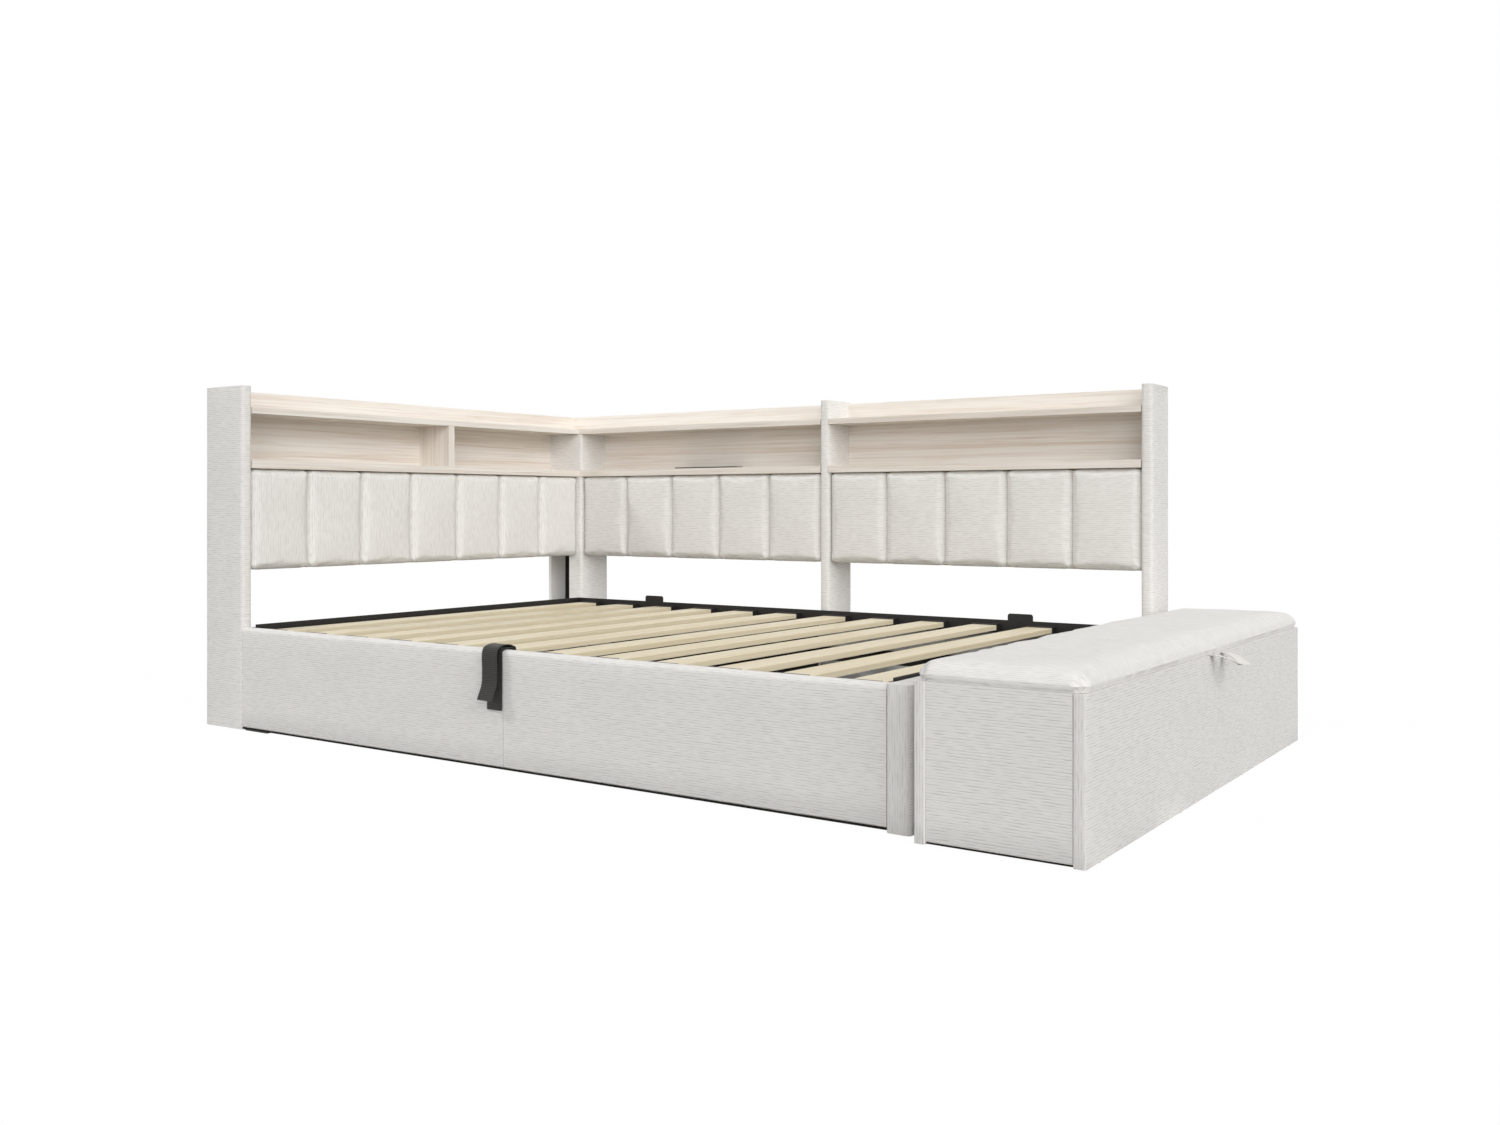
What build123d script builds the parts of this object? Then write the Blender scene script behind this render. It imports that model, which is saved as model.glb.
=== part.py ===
"""Corner storage bed with a bookcase headboard, a long bookcase back and a storage bench.

All sizes are millimetres. While the pieces are made, X runs from the outer face of the head
bookcase to the bench, Y runs from the front rail to the wall behind the long bookcase, and Z is
up from the floor. At the end everything is moved so that the origin is the middle of the
footprint, on the floor.
"""

from build123d import *
import math
import os

os.makedirs("parts", exist_ok=True)

# Sleeping place and the two bookcases
sleeping_length = 2101.0
sleeping_width = 1396.0
bookcase_height = 990.0
head_depth = 180.0
back_depth = 142.0
panel_thickness = 34.0
left_bay_width = 1048.0
corner_post_width = 62.0
corner_post_proud = 12.0
panel_edge_radius = 11.0
panel_top_radius = 7.0

# Levels of the bookcases
pad_bottom = 457.0
pad_height = 294.0
shelf_thickness = 23.0
niche_height = 136.0
top_shelf_thickness = 18.0
fence_height = 56.0
back_board_thickness = 12.0
head_back_inset = 23.0
divider_thickness = 25.0
divider_setback = 2.0
lining_thickness = 1.0
corner_leg_width = 80.0
corner_leg_thickness = 12.0

# Channelled pads
pad_thickness = 40.0
pad_side_gap = 1.5
pad_top_gap = 1.0
pad_end_radius = 16.0
pad_crown_radius = 18.0
channel_groove = 7.0
head_channels = 7
back_channels = 5
pad_board_thickness = 12.0

# Power unit in the long shelf
power_length = 264.0
power_width = 56.0
power_lip = 6.0
power_x = 716.0
power_housing_depth = 38.0
power_rim = 5.0
power_clearance = 0.4
socket_radius = 19.0
socket_depth = 12.0
socket_spacing = 158.0
usb_size = (14.0, 7.0)
usb_spacing = 26.0
gland_radius = 7.0
gland_bore = 3.5
gland_length = 14.0
gland_bore_depth = 20.0

# Rails and the storage box
rail_height = 286.0
rail_lift = 8.0
rail_top_radius = 14.0
rail_seam_gap = 1.0
rail_seam_x = 1226.0
foot_rail_thickness = 57.0
foot_rail_proud = 6.0
end_panel_proud = 6.0
rear_rail_drop = 4.0
storage_divider_thickness = 18.0
floor_thickness = 9.0
floor_play = 1.0
floor_level = 30.0
cleat_size = 20.0
batten_width = 22.0
batten_height = 30.0
end_batten_length = 838.0
foot_length = 100.0
foot_width = 30.0
foot_setback = 12.0
cross_foot_spacing = 419.0

# Steel lifting frame and its slats
frame_gap = 4.0
frame_rise = 6.0
front_bar_drop = 8.0
angle_leg = 36.0
angle_wall = 3.0
beam_width = 30.0
beam_height = 36.0
cross_bar_height = 30.0
rest_gap = 0.3
slats_per_half = 6
slat_width = 80.0
slat_thickness = 15.0
slat_pitch = 175.0
slat_end_margin = 33.0
cap_wall = 3.0
cap_side_wall = 2.0
cap_length = 24.0
cap_gap = 0.5
stop_width = 80.0
stop_rise = 20.0
stop_thickness = 3.0
stop_offsets = (-682.0, 719.0)
stop_radius = 8.0

# Hinges of the lifting frame, with their axis along X
lift_axis_above_rail = 4.0
lift_axis_gap = 5.0
hinge_length = 80.0
hinge_leaf = 2.0
hinge_pin_radius = 2.5
hinge_knuckle_radius = 4.6
hinge_end_knuckle = 20.0
hinge_play = 0.5
running_clearance = 0.05
hinge_leaf_height = 40.0
lift_hinge_positions = (150.0, 720.0, 1420.0, 1950.0)

# Gas struts: pivots are measured from the hinge axis, forwards and down
strut_low_pivot = (113.0, 238.0)
strut_high_pivot = (269.0, 60.0)
strut_plane = 16.0
strut_eye_radius = 12.0
strut_eye_width = 8.0
strut_tube_radius = 9.0
strut_tube_wall = 1.5
strut_tube_end = 186.0
strut_rod_radius = 4.0
strut_stud_radius = 4.0
strut_head_radius = 11.0
strut_boss_radius = 7.0
strut_open_clearance = 3.4
strut_neck_sink = 1.0
strut_piston_start = 27.0
strut_piston_length = 10.0
bracket_wall = 3.0
bracket_height = 120.0
bracket_leg = 60.0
bolt_radius = 6.0
bolt_height = 4.0
bolt_setback = 36.0
bolt_spacing = 60.0
seam_plate_reach = 78.0
seam_bolt_x = 54.0

# Lifting strap of doubled webbing
strap_width = 50.0
strap_thickness = 2.0
strap_turn = 5.0
strap_centre_x = 1200.0
strap_clearance = 0.5
strap_front_end = 174.0
strap_back_end = 147.0
strap_arch_height = 12.0
strap_flare = 37.0
strap_stand_off = 20.0

# Storage bench
bench_gap = 26.0
bench_width = 340.0
bench_front = -55.0
bench_length = 1593.0
bench_body_top = 312.0
bench_board = 25.0
bench_edge_radius = 8.0
bench_end_recess = 2.0
bench_glide_height = 3.0
bench_glide_radius = 9.0
bench_glide_spacing = 478.0
bench_glides_per_side = 4
bench_end_lift = 8.0
bench_floor_level = 20.0
bench_floor_thickness = 12.0
lid_board_thickness = 18.0
lid_crown = 28.0
lid_crown_drop = 3.0
lid_corner_radius = 22.0
lid_edge_radius = 20.0
lid_gap = 0.3

# Lid hinges, with their axis along Y, and the pull loop
lid_axis_above_body = 20.0
lid_axis_outside = 3.8
lid_knuckle_radius = 3.4
lid_pin_radius = 1.8
lid_leaf_drop = 46.0
lid_hinge_spacing = 621.0
loop_width = 28.0
loop_thickness = 1.6
loop_reach = 52.0
loop_droop = 26.0
loop_tip_radius = 8.0
loop_root_spread = 3.0

# Places worked out from the sizes above
rail_back = panel_thickness
back_front = rail_back + sleeping_width
back_rear = back_front + back_depth
foot_rail_face = head_depth + sleeping_length
foot_rail_outer = foot_rail_face + foot_rail_thickness
end_panel_outer = foot_rail_outer + end_panel_proud
end_panel_inner = end_panel_outer - panel_thickness
bed_middle = head_depth + sleeping_length / 2
post_right = head_depth + corner_post_proud
post_left = post_right - corner_post_width
mid_left = post_right + left_bay_width
mid_right = mid_left + panel_thickness
shelf_bottom = pad_bottom + pad_height + pad_top_gap
shelf_top = shelf_bottom + shelf_thickness
niche_top = shelf_top + niche_height
top_shelf_top = niche_top + top_shelf_thickness
fence_top = top_shelf_top + fence_height
head_back_face = head_back_inset + back_board_thickness
back_board_face = back_rear - back_board_thickness
pad_back_x = head_depth - pad_thickness
pad_back_y = back_front + pad_thickness
rail_top = rail_lift + rail_height
rear_rail_top = rail_top - rear_rail_drop
frame_top = rail_top + frame_rise
front_bar_top = rail_top - front_bar_drop
frame_bottom = frame_top - angle_leg
frame_left = head_depth + frame_gap
frame_right = foot_rail_face - frame_gap
frame_front = rail_back + frame_gap
lift_axis_y = back_front - lift_axis_gap
lift_axis_z = rear_rail_top + lift_axis_above_rail
frame_rear = lift_axis_y - lift_axis_gap
flange_top = frame_bottom + angle_wall
slat_bottom = flange_top + cap_wall
slat_top = slat_bottom + slat_thickness
divider_top = frame_bottom - cross_bar_height - hinge_leaf
bench_left = end_panel_outer + bench_gap
bench_right = bench_left + bench_width
bench_rear = bench_front + bench_length
lid_bottom = bench_body_top + lid_gap
lid_board_top = lid_bottom + lid_board_thickness
lid_top = lid_board_top + lid_crown
lid_axis_x = bench_left - lid_axis_outside
lid_axis_z = bench_body_top + lid_axis_above_body
loop_middle_y = bench_front + bench_length / 2

LOW = (Align.CENTER, Align.CENTER, Align.MIN)


def slab(x, y, z):
    """A block between a low and a high value on each axis."""
    sizes = [high - low for low, high in (x, y, z)]
    return Pos(x[0], y[0], z[0]) * Box(*sizes, align=(Align.MIN, Align.MIN, Align.MIN))


def bar(start, end, radius):
    """A round bar between two points."""
    path = Vector(*end) - Vector(*start)
    return Plane(origin=start, z_dir=path) * Cylinder(radius, path.length, align=LOW)


def upright_edges(body, corners):
    """The upright edges of a block that stand at the given (x, y) corners."""
    found = []
    for edge in body.edges().filter_by(Axis.Z):
        place = edge.center()
        if any(math.hypot(place.X - x, place.Y - y) < 0.01 for x, y in corners):
            found.append(edge)
    return found


def covered_board(x, y, z, corners, radius, top_radius):
    """An upholstered upright board with rounded corners and a rounded top edge."""
    body = slab(x, y, z)
    body = fillet(upright_edges(body, corners), radius)
    return fillet(body.faces().sort_by(Axis.Z)[-1].edges(), top_radius)


def all_corners(x, y):
    return [(x_value, y_value) for x_value in x for y_value in y]


def covered_rail(x, y, z, along):
    """An upholstered rail whose two long top edges are rounded over."""
    body = slab(x, y, z)
    top = body.faces().sort_by(Axis.Z)[-1]
    return fillet(top.edges().filter_by(along), rail_top_radius)


# Head bookcase and corner


def head_front_panel():
    x, y = (0.0, head_depth), (0.0, panel_thickness)
    return covered_board(
        x, y, (0.0, bookcase_height), all_corners(x, y), panel_edge_radius, panel_top_radius
    )


def head_rear_panel():
    return slab((0.0, post_left), (back_rear - panel_thickness, back_rear), (0.0, shelf_bottom))


def corner_post():
    body = slab((post_left, post_right), (back_front, back_rear), (0.0, shelf_bottom))
    return fillet(upright_edges(body, [(post_right, back_front)]), panel_edge_radius)


def corner_block():
    """The covered box that closes the niches where the two bookcases meet."""
    x, y = (head_back_face, post_right), (back_front, back_board_face)
    body = slab(x, y, (shelf_top, niche_top))
    return fillet(upright_edges(body, [(post_right, back_front)]), panel_edge_radius)


def head_corner_leg():
    rear = back_rear - panel_thickness
    return slab((0.0, corner_leg_thickness), (rear - corner_leg_width, rear), (0.0, shelf_bottom))


def head_board_span():
    return (panel_thickness, back_board_face)


def head_shelf():
    return slab((head_back_face, head_depth), head_board_span(), (shelf_bottom, shelf_top))


def head_top_shelf():
    return slab((head_back_face, head_depth), head_board_span(), (niche_top, top_shelf_top))


def head_back_board():
    x = (head_back_inset, head_back_face)
    return slab(x, (panel_thickness, back_rear), (shelf_bottom, fence_top))


def head_divider():
    y = (back_rear / 2, back_rear / 2 + divider_thickness)
    return slab((head_back_face, head_depth - divider_setback), y, (shelf_top, niche_top))


# Long bookcase


def back_panel(x):
    y = (back_front, back_rear)
    return covered_board(
        x, y, (0.0, bookcase_height), all_corners(x, y), panel_edge_radius, panel_top_radius
    )


def back_shelf(x):
    return slab(x, (back_front, back_board_face), (shelf_bottom, shelf_top))


def mid_shelf():
    """The shelf of the left bay, cut out for the power unit."""
    board = back_shelf((head_depth, mid_left))
    margin = power_rim - power_clearance
    x = (power_x - power_length / 2 + margin, power_x + power_length / 2 - margin)
    y = (power_front() + margin, power_front() + power_width - margin)
    return board - slab(x, y, (shelf_bottom, shelf_top))


def back_top_shelf(x):
    return slab(x, (back_front, back_board_face), (niche_top, top_shelf_top))


def back_board(x):
    return slab(x, (back_board_face, back_rear), (shelf_bottom, fence_top))


def power_front():
    return (pad_back_y + pad_board_thickness + back_board_face - power_width) / 2


def power_unit():
    """A socket strip let into the shelf: a lip on the shelf and a housing below it."""
    left = power_x - power_length / 2
    front = power_front()
    lip = slab(
        (left, left + power_length), (front, front + power_width), (shelf_top, shelf_top + power_lip)
    )
    lip = chamfer(lip.faces().sort_by(Axis.Z)[-1].edges(), power_lip / 2)
    housing = slab(
        (left + power_rim, left + power_length - power_rim),
        (front + power_rim, front + power_width - power_rim),
        (shelf_top - power_housing_depth, shelf_top),
    )
    unit = lip + housing
    middle = front + power_width / 2
    mouth = shelf_top + power_lip
    for side in (-0.5, 0.5):
        x = power_x + side * socket_spacing
        unit -= bar((x, middle, mouth - socket_depth), (x, middle, mouth), socket_radius)
        usb_x = power_x + side * usb_spacing
        half_width, half_height = usb_size[0] / 2, usb_size[1] / 2
        unit -= slab(
            (usb_x - half_width, usb_x + half_width),
            (middle - half_height, middle + half_height),
            (mouth - socket_depth, mouth),
        )
    return unit + cord_gland(middle)


def cord_gland(middle):
    """The gland at the housing's end below the shelf, where a supply cord would go in."""
    end = power_x - power_length / 2 + power_rim
    height = shelf_bottom - (power_housing_depth - shelf_thickness) / 2
    gland = bar((end - gland_length, middle, height), (end, middle, height), gland_radius)
    mouth = end - gland_length
    return gland - bar((mouth, middle, height), (mouth + gland_bore_depth, middle, height), gland_bore)


# Pads


def channel_pad(length, channels):
    """A pad that stands along X with its crowned, channelled front towards -Y.

    Its back lies on Y = 0, its left end at X = 0 and its bottom at Z = 0.
    """
    groove_line = channel_groove - pad_thickness
    pitch = length / channels
    end = pad_end_radius
    bend = end * (1 - math.sqrt(0.5))
    shoulder = end - pad_thickness
    outline = [Line((0, 0), (0, shoulder))]
    outline.append(ThreePointArc((0, shoulder), (bend, bend - pad_thickness), (end, -pad_thickness)))
    for number in range(channels):
        start = number * pitch
        first = (end, -pad_thickness) if number == 0 else (start, groove_line)
        last_x = length - end if number == channels - 1 else start + pitch
        last = (last_x, -pad_thickness) if number == channels - 1 else (last_x, groove_line)
        if number in (0, channels - 1):
            flat_x = last_x - pitch / 3 if number == 0 else start + pitch / 3
            flat = (flat_x, -pad_thickness)
            swell = channel_groove / 4
            if number == 0:
                outline.append(Line(first, flat))
                curve = ((flat_x + last_x) / 2 + swell, swell - pad_thickness)
                outline.append(ThreePointArc(flat, curve, last))
            else:
                curve = ((flat_x + start) / 2 - swell, swell - pad_thickness)
                outline.append(ThreePointArc(first, curve, flat))
                outline.append(Line(flat, last))
        else:
            outline.append(ThreePointArc(first, (start + pitch / 2, -pad_thickness), last))
    far_bend = (length - bend, bend - pad_thickness)
    outline.append(ThreePointArc((length - end, -pad_thickness), far_bend, (length, shoulder)))
    outline.append(Line((length, shoulder), (length, 0)))
    outline.append(Line((length, 0), (0, 0)))
    plan = extrude(make_face(outline), pad_height)
    return plan & crown_bar(length)


def crown_bar(length):
    """The side view of a pad, drawn out along X: a flat back and a crowned front."""
    radius = pad_crown_radius
    bend = radius * (1 - math.sqrt(0.5))
    front = -pad_thickness
    low = (front + radius, 0.0)
    low_front = (front, radius)
    high_front = (front, pad_height - radius)
    high = (front + radius, pad_height)
    side = [
        Line((0, 0), low),
        ThreePointArc(low, (front + bend, bend), low_front),
        Line(low_front, high_front),
        ThreePointArc(high_front, (front + bend, pad_height - bend), high),
        Line(high, (0, pad_height)),
        Line((0, pad_height), (0, 0)),
    ]
    return extrude(Plane.YZ * make_face(side), length)


def back_pad(x):
    length = x[1] - x[0] - 2 * pad_side_gap
    pad = channel_pad(length, back_channels)
    return Pos(x[0] + pad_side_gap, pad_back_y, pad_bottom) * pad


def head_pad():
    length = sleeping_width - 2 * pad_side_gap
    pad = channel_pad(length, head_channels)
    place = Pos(pad_back_x, panel_thickness + pad_side_gap, pad_bottom)
    return place * (Rot(0, 0, 90) * pad)


def pad_boards():
    """The boards that carry the three pads, lined black at the back."""
    z = (pad_bottom, shelf_bottom)
    rear = (pad_back_y, pad_back_y + pad_board_thickness)
    head = slab((pad_back_x - pad_board_thickness, pad_back_x), (panel_thickness, back_front), z)
    left = slab((post_right, mid_left), rear, z)
    right = slab((mid_right, end_panel_inner), rear, z)
    return Compound(children=[head, left, right])


def dust_linings():
    """Black lining on the rear of the uprights, in the head corner and under the rails."""
    rear = (back_rear, back_rear + lining_thickness)
    inside = panel_edge_radius
    z = (0.0, bookcase_height - inside)
    pieces = [
        slab((mid_left + inside, mid_right - inside), rear, z),
        slab((end_panel_inner + inside, end_panel_outer - inside), rear, z),
        slab((0.0, post_right), rear, (0.0, shelf_bottom)),
    ]
    corner = back_rear - panel_thickness
    pieces.append(
        slab((corner_leg_thickness, post_left), (corner - lining_thickness, corner), (0.0, shelf_bottom))
    )
    under = (rail_lift - lining_thickness, rail_lift)
    pieces.append(slab((head_depth, foot_rail_face), (0.0, panel_thickness), under))
    return Compound(children=pieces)


# Rails and storage box


def front_rail(x):
    return covered_rail(x, (0.0, panel_thickness), (rail_lift, rail_top), Axis.X)


def foot_rail():
    x, y = (foot_rail_face, foot_rail_outer), (-foot_rail_proud, back_front)
    front = [(foot_rail_face, -foot_rail_proud), (foot_rail_outer, -foot_rail_proud)]
    return covered_board(x, y, (0.0, rail_top), front, rail_top_radius, panel_edge_radius)


def head_rail():
    x = (head_depth - panel_thickness, head_depth)
    return slab(x, (panel_thickness, back_front), (rail_lift, rear_rail_top))


def rear_rails():
    y, z = (back_front, back_front + panel_thickness), (rail_lift, rear_rail_top)
    return Compound(
        children=[slab((post_right, mid_left), y, z), slab((mid_right, end_panel_inner), y, z)]
    )


def storage_divider():
    half = storage_divider_thickness / 2
    x = (rail_seam_x - half, rail_seam_x + half)
    return slab(x, (rail_back + bracket_wall, back_front), (rail_lift, divider_top))


def storage_bays():
    """The two compartments of the storage box, as low and high X."""
    half = storage_divider_thickness / 2
    return [(head_depth, rail_seam_x - half), (rail_seam_x + half, foot_rail_face)]


def storage_floor():
    """Four floor boards, two in each compartment."""
    middle = (rail_back + bracket_wall + back_front) / 2
    z = (floor_level, floor_level + floor_thickness)
    boards = []
    play = floor_play
    for low_x, high_x in storage_bays():
        for low_y, high_y in ((rail_back + bracket_wall, middle), (middle, back_front)):
            boards.append(slab((low_x + play, high_x - play), (low_y + play / 2, high_y - play / 2), z))
    return Compound(children=boards)


def rail_cleats():
    """Battens that carry the floor boards, and battens that the lifting frame rests on."""
    floor_z = (floor_level - cleat_size, floor_level)
    pieces = []
    for x in storage_bays():
        pieces.append(slab(x, (rail_back, rail_back + cleat_size), floor_z))
        pieces.append(slab(x, (back_front - cleat_size, back_front), floor_z))
        inner = (rail_back + cleat_size, back_front - cleat_size)
        pieces.append(slab((x[0], x[0] + cleat_size), inner, floor_z))
        pieces.append(slab((x[1] - cleat_size, x[1]), inner, floor_z))
    rest_z = (frame_bottom - rest_gap - batten_height, frame_bottom - rest_gap)
    rest_y = (rail_back, rail_back + batten_width)
    pieces.append(slab((head_depth, bed_middle - beam_width), rest_y, rest_z))
    pieces.append(slab((bed_middle + beam_width, foot_rail_face), rest_y, rest_z))
    end_y = (rail_back + batten_width, rail_back + batten_width + end_batten_length)
    pieces.append(slab((head_depth, head_depth + batten_width), end_y, rest_z))
    pieces.append(slab((foot_rail_face - batten_width, foot_rail_face), end_y, rest_z))
    return Compound(children=pieces)


def bed_feet():
    """Low feet under the rails and the storage divider."""
    pieces = []
    height = rail_lift - lining_thickness
    offset = foot_length / 2 + foot_setback
    pieces.append(foot_pad(head_depth + offset, panel_thickness / 2, height, False))
    rear_y = back_front + panel_thickness / 2
    for x in (post_right + offset, mid_left - offset, mid_right + offset, end_panel_inner - offset):
        pieces.append(foot_pad(x, rear_y, rail_lift, False))
    for number in (-1, 0, 1):
        y = rail_back + sleeping_width / 2 + number * cross_foot_spacing
        pieces.append(foot_pad(head_depth - panel_thickness / 2, y, rail_lift, True))
        pieces.append(foot_pad(rail_seam_x, y, rail_lift, True))
    return Compound(children=pieces)


def foot_pad(x, y, height, turned):
    sizes = (foot_width, foot_length) if turned else (foot_length, foot_width)
    return Pos(x, y, 0) * Box(*sizes, height, align=LOW)


def corner_bracket(corner_x, corner_y, x_side, y_side):
    """A steel angle in a corner of the storage box, with two bolt heads on each leg."""
    low = (rail_lift + rail_height - bracket_height) / 2
    z = (low, low + bracket_height)
    x_leg = sorted((corner_x, corner_x + x_side * bracket_leg))
    y_leg = sorted((corner_y, corner_y + y_side * bracket_leg))
    x_wall = sorted((corner_x, corner_x + x_side * bracket_wall))
    y_wall = sorted((corner_y, corner_y + y_side * bracket_wall))
    bracket = slab(x_leg, y_wall, z) + slab(x_wall, y_leg, z)
    bolt_x, bolt_y = corner_x + x_side * bolt_setback, corner_y + y_side * bolt_setback
    x_face, y_face = corner_x + x_side * bracket_wall, corner_y + y_side * bracket_wall
    for height in bolt_levels(low):
        bracket += bar((bolt_x, y_face, height), (bolt_x, y_face + y_side * bolt_height, height), bolt_radius)
        bracket += bar((x_face, bolt_y, height), (x_face + x_side * bolt_height, bolt_y, height), bolt_radius)
    return bracket


def bolt_levels(low):
    """The heights of the two bolts on a bracket that starts at a level."""
    middle = low + bracket_height / 2
    return (middle - bolt_spacing / 2, middle + bolt_spacing / 2)


def seam_plate():
    """The flat plate that joins the two halves of the front rail."""
    low = (rail_lift + rail_height - bracket_height) / 2
    face = rail_back + bracket_wall
    x = (rail_seam_x - seam_plate_reach, rail_seam_x + seam_plate_reach)
    plate = slab(x, (rail_back, face), (low, low + bracket_height))
    for bolt_x in (rail_seam_x - seam_bolt_x, rail_seam_x + seam_bolt_x):
        for height in bolt_levels(low):
            plate += bar((bolt_x, face, height), (bolt_x, face + bolt_height, height), bolt_radius)
    return plate


def rail_brackets():
    corners = [
        corner_bracket(head_depth, rail_back, 1, 1),
        corner_bracket(foot_rail_face, rail_back, -1, 1),
        corner_bracket(head_depth, back_front, 1, -1),
        corner_bracket(foot_rail_face, back_front, -1, -1),
    ]
    return Compound(children=corners + [seam_plate()])


# Lifting frame


def front_bar():
    """Angle steel along the front of the lifting frame, its foot turned inwards."""
    wall = (frame_front, frame_front + angle_wall)
    foot = (frame_front + angle_wall, frame_front + angle_leg)
    upright = slab((frame_left, frame_right), wall, (frame_bottom, front_bar_top))
    inner = (frame_left + angle_wall, frame_right - angle_wall)
    return upright + slab(inner, foot, (frame_bottom, flange_top))


def rear_bar():
    """Angle steel along the hinge side of the lifting frame, its foot turned inwards."""
    wall = (frame_rear - angle_wall, frame_rear)
    foot = (frame_rear - angle_leg, frame_rear - angle_wall)
    upright = slab((frame_left, frame_right), wall, (frame_bottom, frame_top))
    inner = (frame_left + angle_wall, frame_right - angle_wall)
    return upright + slab(inner, foot, (frame_bottom, flange_top))


def strut_place(pivot):
    """A strut pivot's Y and Z from its distances in front of and below the hinge axis."""
    return (lift_axis_y - pivot[0], lift_axis_z - pivot[1])


def strut_stud(start_x, y, z):
    """A stud along +X that a strut's eye turns on, with its head."""
    eye_far = head_depth + strut_plane + strut_eye_width / 2
    stud = bar((start_x, y, z), (eye_far + 2 * hinge_play, y, z), strut_stud_radius)
    head_start = eye_far + hinge_play
    return stud + bar((head_start, y, z), (head_start + bolt_height, y, z), strut_head_radius)


def end_bar():
    """Angle steel at the head end, with the lug and stud of the strut's upper end."""
    wall = (frame_left, frame_left + angle_wall)
    upright = slab(wall, (frame_front + angle_wall, frame_rear - angle_wall), (frame_bottom, frame_top))
    foot_y = (frame_front + angle_leg, frame_rear - angle_leg)
    foot = slab((wall[1], frame_left + angle_leg), foot_y, (frame_bottom, flange_top))
    y, z = strut_place(strut_high_pivot)
    lug_low = z - strut_eye_radius
    lug = slab(wall, (y - strut_eye_radius, y + strut_eye_radius), (lug_low, frame_bottom))
    return upright + foot + lug + strut_stud(wall[1], y, z)


def mirrored(shape):
    """The same piece at the foot end."""
    return mirror(shape, about=Plane.YZ.offset(bed_middle))


def frame_end_bars():
    head = end_bar()
    return Compound(children=[head, mirrored(head)])


def frame_beams():
    """Steel tubes below the slats: one lengthwise and two halves across the middle."""
    middle = (frame_front + frame_rear) / 2
    beam_y = (middle - beam_width / 2, middle + beam_width / 2)
    bottom = slat_bottom - beam_height
    beam_x = (frame_left + angle_leg, frame_right - angle_leg)
    pieces = [steel_tube(beam_x, beam_y, (bottom, slat_bottom), Axis.X)]
    cross_x = (bed_middle - beam_width / 2, bed_middle + beam_width / 2)
    cross_z = (frame_bottom - cross_bar_height, frame_bottom)
    pieces.append(steel_tube(cross_x, (frame_front, beam_y[0]), cross_z, Axis.Y))
    pieces.append(steel_tube(cross_x, (beam_y[1], frame_rear), cross_z, Axis.Y))
    return Compound(children=pieces)


def steel_tube(x, y, z, along):
    """A rectangular tube, open at both ends."""
    wall = hinge_leaf
    shrink_x = 0.0 if along == Axis.X else wall
    shrink_y = 0.0 if along == Axis.Y else wall
    bore = slab(
        (x[0] + shrink_x, x[1] - shrink_x), (y[0] + shrink_y, y[1] - shrink_y), (z[0] + wall, z[1] - wall)
    )
    return slab(x, y, z) - bore


def slat_starts():
    """Low X of every slat: two halves mirrored about the rail's seam, with a wider space there."""
    first = frame_left + slat_end_margin
    left_half = [first + number * slat_pitch for number in range(slats_per_half)]
    right_half = [2 * rail_seam_x - start - slat_width for start in left_half]
    return left_half + right_half[::-1]


def slat_span():
    return (frame_front + angle_wall + cap_wall + cap_gap, frame_rear - angle_wall - cap_wall - cap_gap)


def slats():
    boards = []
    for start in slat_starts():
        board = slab((start, start + slat_width), slat_span(), (slat_bottom, slat_top))
        boards.append(fillet(board.edges().filter_by(Axis.Y), angle_wall / 2))
    return Compound(children=boards)


def slat_caps():
    """A pocket holder on each end of each slat, standing on the angle steel's foot."""
    front, rear = slat_span()
    pieces = []
    for start in slat_starts():
        x = (start - cap_side_wall, start + slat_width + cap_side_wall)
        z = (flange_top, slat_top + cap_wall)
        board = slab((start, start + slat_width), (front, rear), (slat_bottom, slat_top))
        pieces.append(slab(x, (front - cap_wall, front - cap_wall + cap_length), z) - board)
        pieces.append(slab(x, (rear + cap_wall - cap_length, rear + cap_wall), z) - board)
    return Compound(children=pieces)


def mattress_stops():
    """Two upright plates on the hinge side that keep the mattress on the raised frame."""
    pieces = []
    for offset in stop_offsets:
        x = (bed_middle + offset - stop_width / 2, bed_middle + offset + stop_width / 2)
        plate = slab(x, (frame_rear, frame_rear + stop_thickness), (slat_bottom, frame_top + stop_rise))
        top = [edge for edge in plate.edges().filter_by(Axis.Y) if edge.center().Z > frame_top]
        pieces.append(fillet(top, stop_radius))
    return Compound(children=pieces)


def strap_ply(points, radii):
    """One ply of the webbing: a strip that follows rounded runs in the YZ plane."""
    path = FilletPolyline(*points, radius=radii)
    strip = Plane.YZ * trace(path, strap_thickness)
    width = extrude(strip, strap_width)
    return Pos(strap_centre_x - strap_width / 2, 0, 0) * width


def lift_strap():
    """Two plies from the frame's front bar, over the rail and down its face."""
    half = strap_thickness / 2
    low = frame_bottom + angle_leg / 2
    inner = frame_front + angle_wall + half
    rail_line = rail_top + strap_clearance + half
    face_line = -strap_clearance - half
    back_points = [
        (inner, low),
        (inner, rail_line),
        (face_line, rail_line),
        (face_line, strap_back_end),
    ]
    turn = strap_clearance + half
    back = strap_ply(back_points, [strap_turn, rail_top_radius + turn])
    arch = rail_line + strap_clearance + strap_thickness
    front_points = [
        (inner + strap_thickness, low),
        (inner + strap_thickness, arch),
        (rail_back - rail_top_radius, rail_top + strap_arch_height),
        (-strap_stand_off, rail_top + strap_arch_height / 2),
        (-strap_stand_off, (rail_top + strap_front_end) / 2),
        (-strap_flare, strap_front_end),
    ]
    front = strap_ply(front_points, [strap_turn + strap_thickness, 14, 16, 60])
    return back + front


# Hinges


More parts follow.
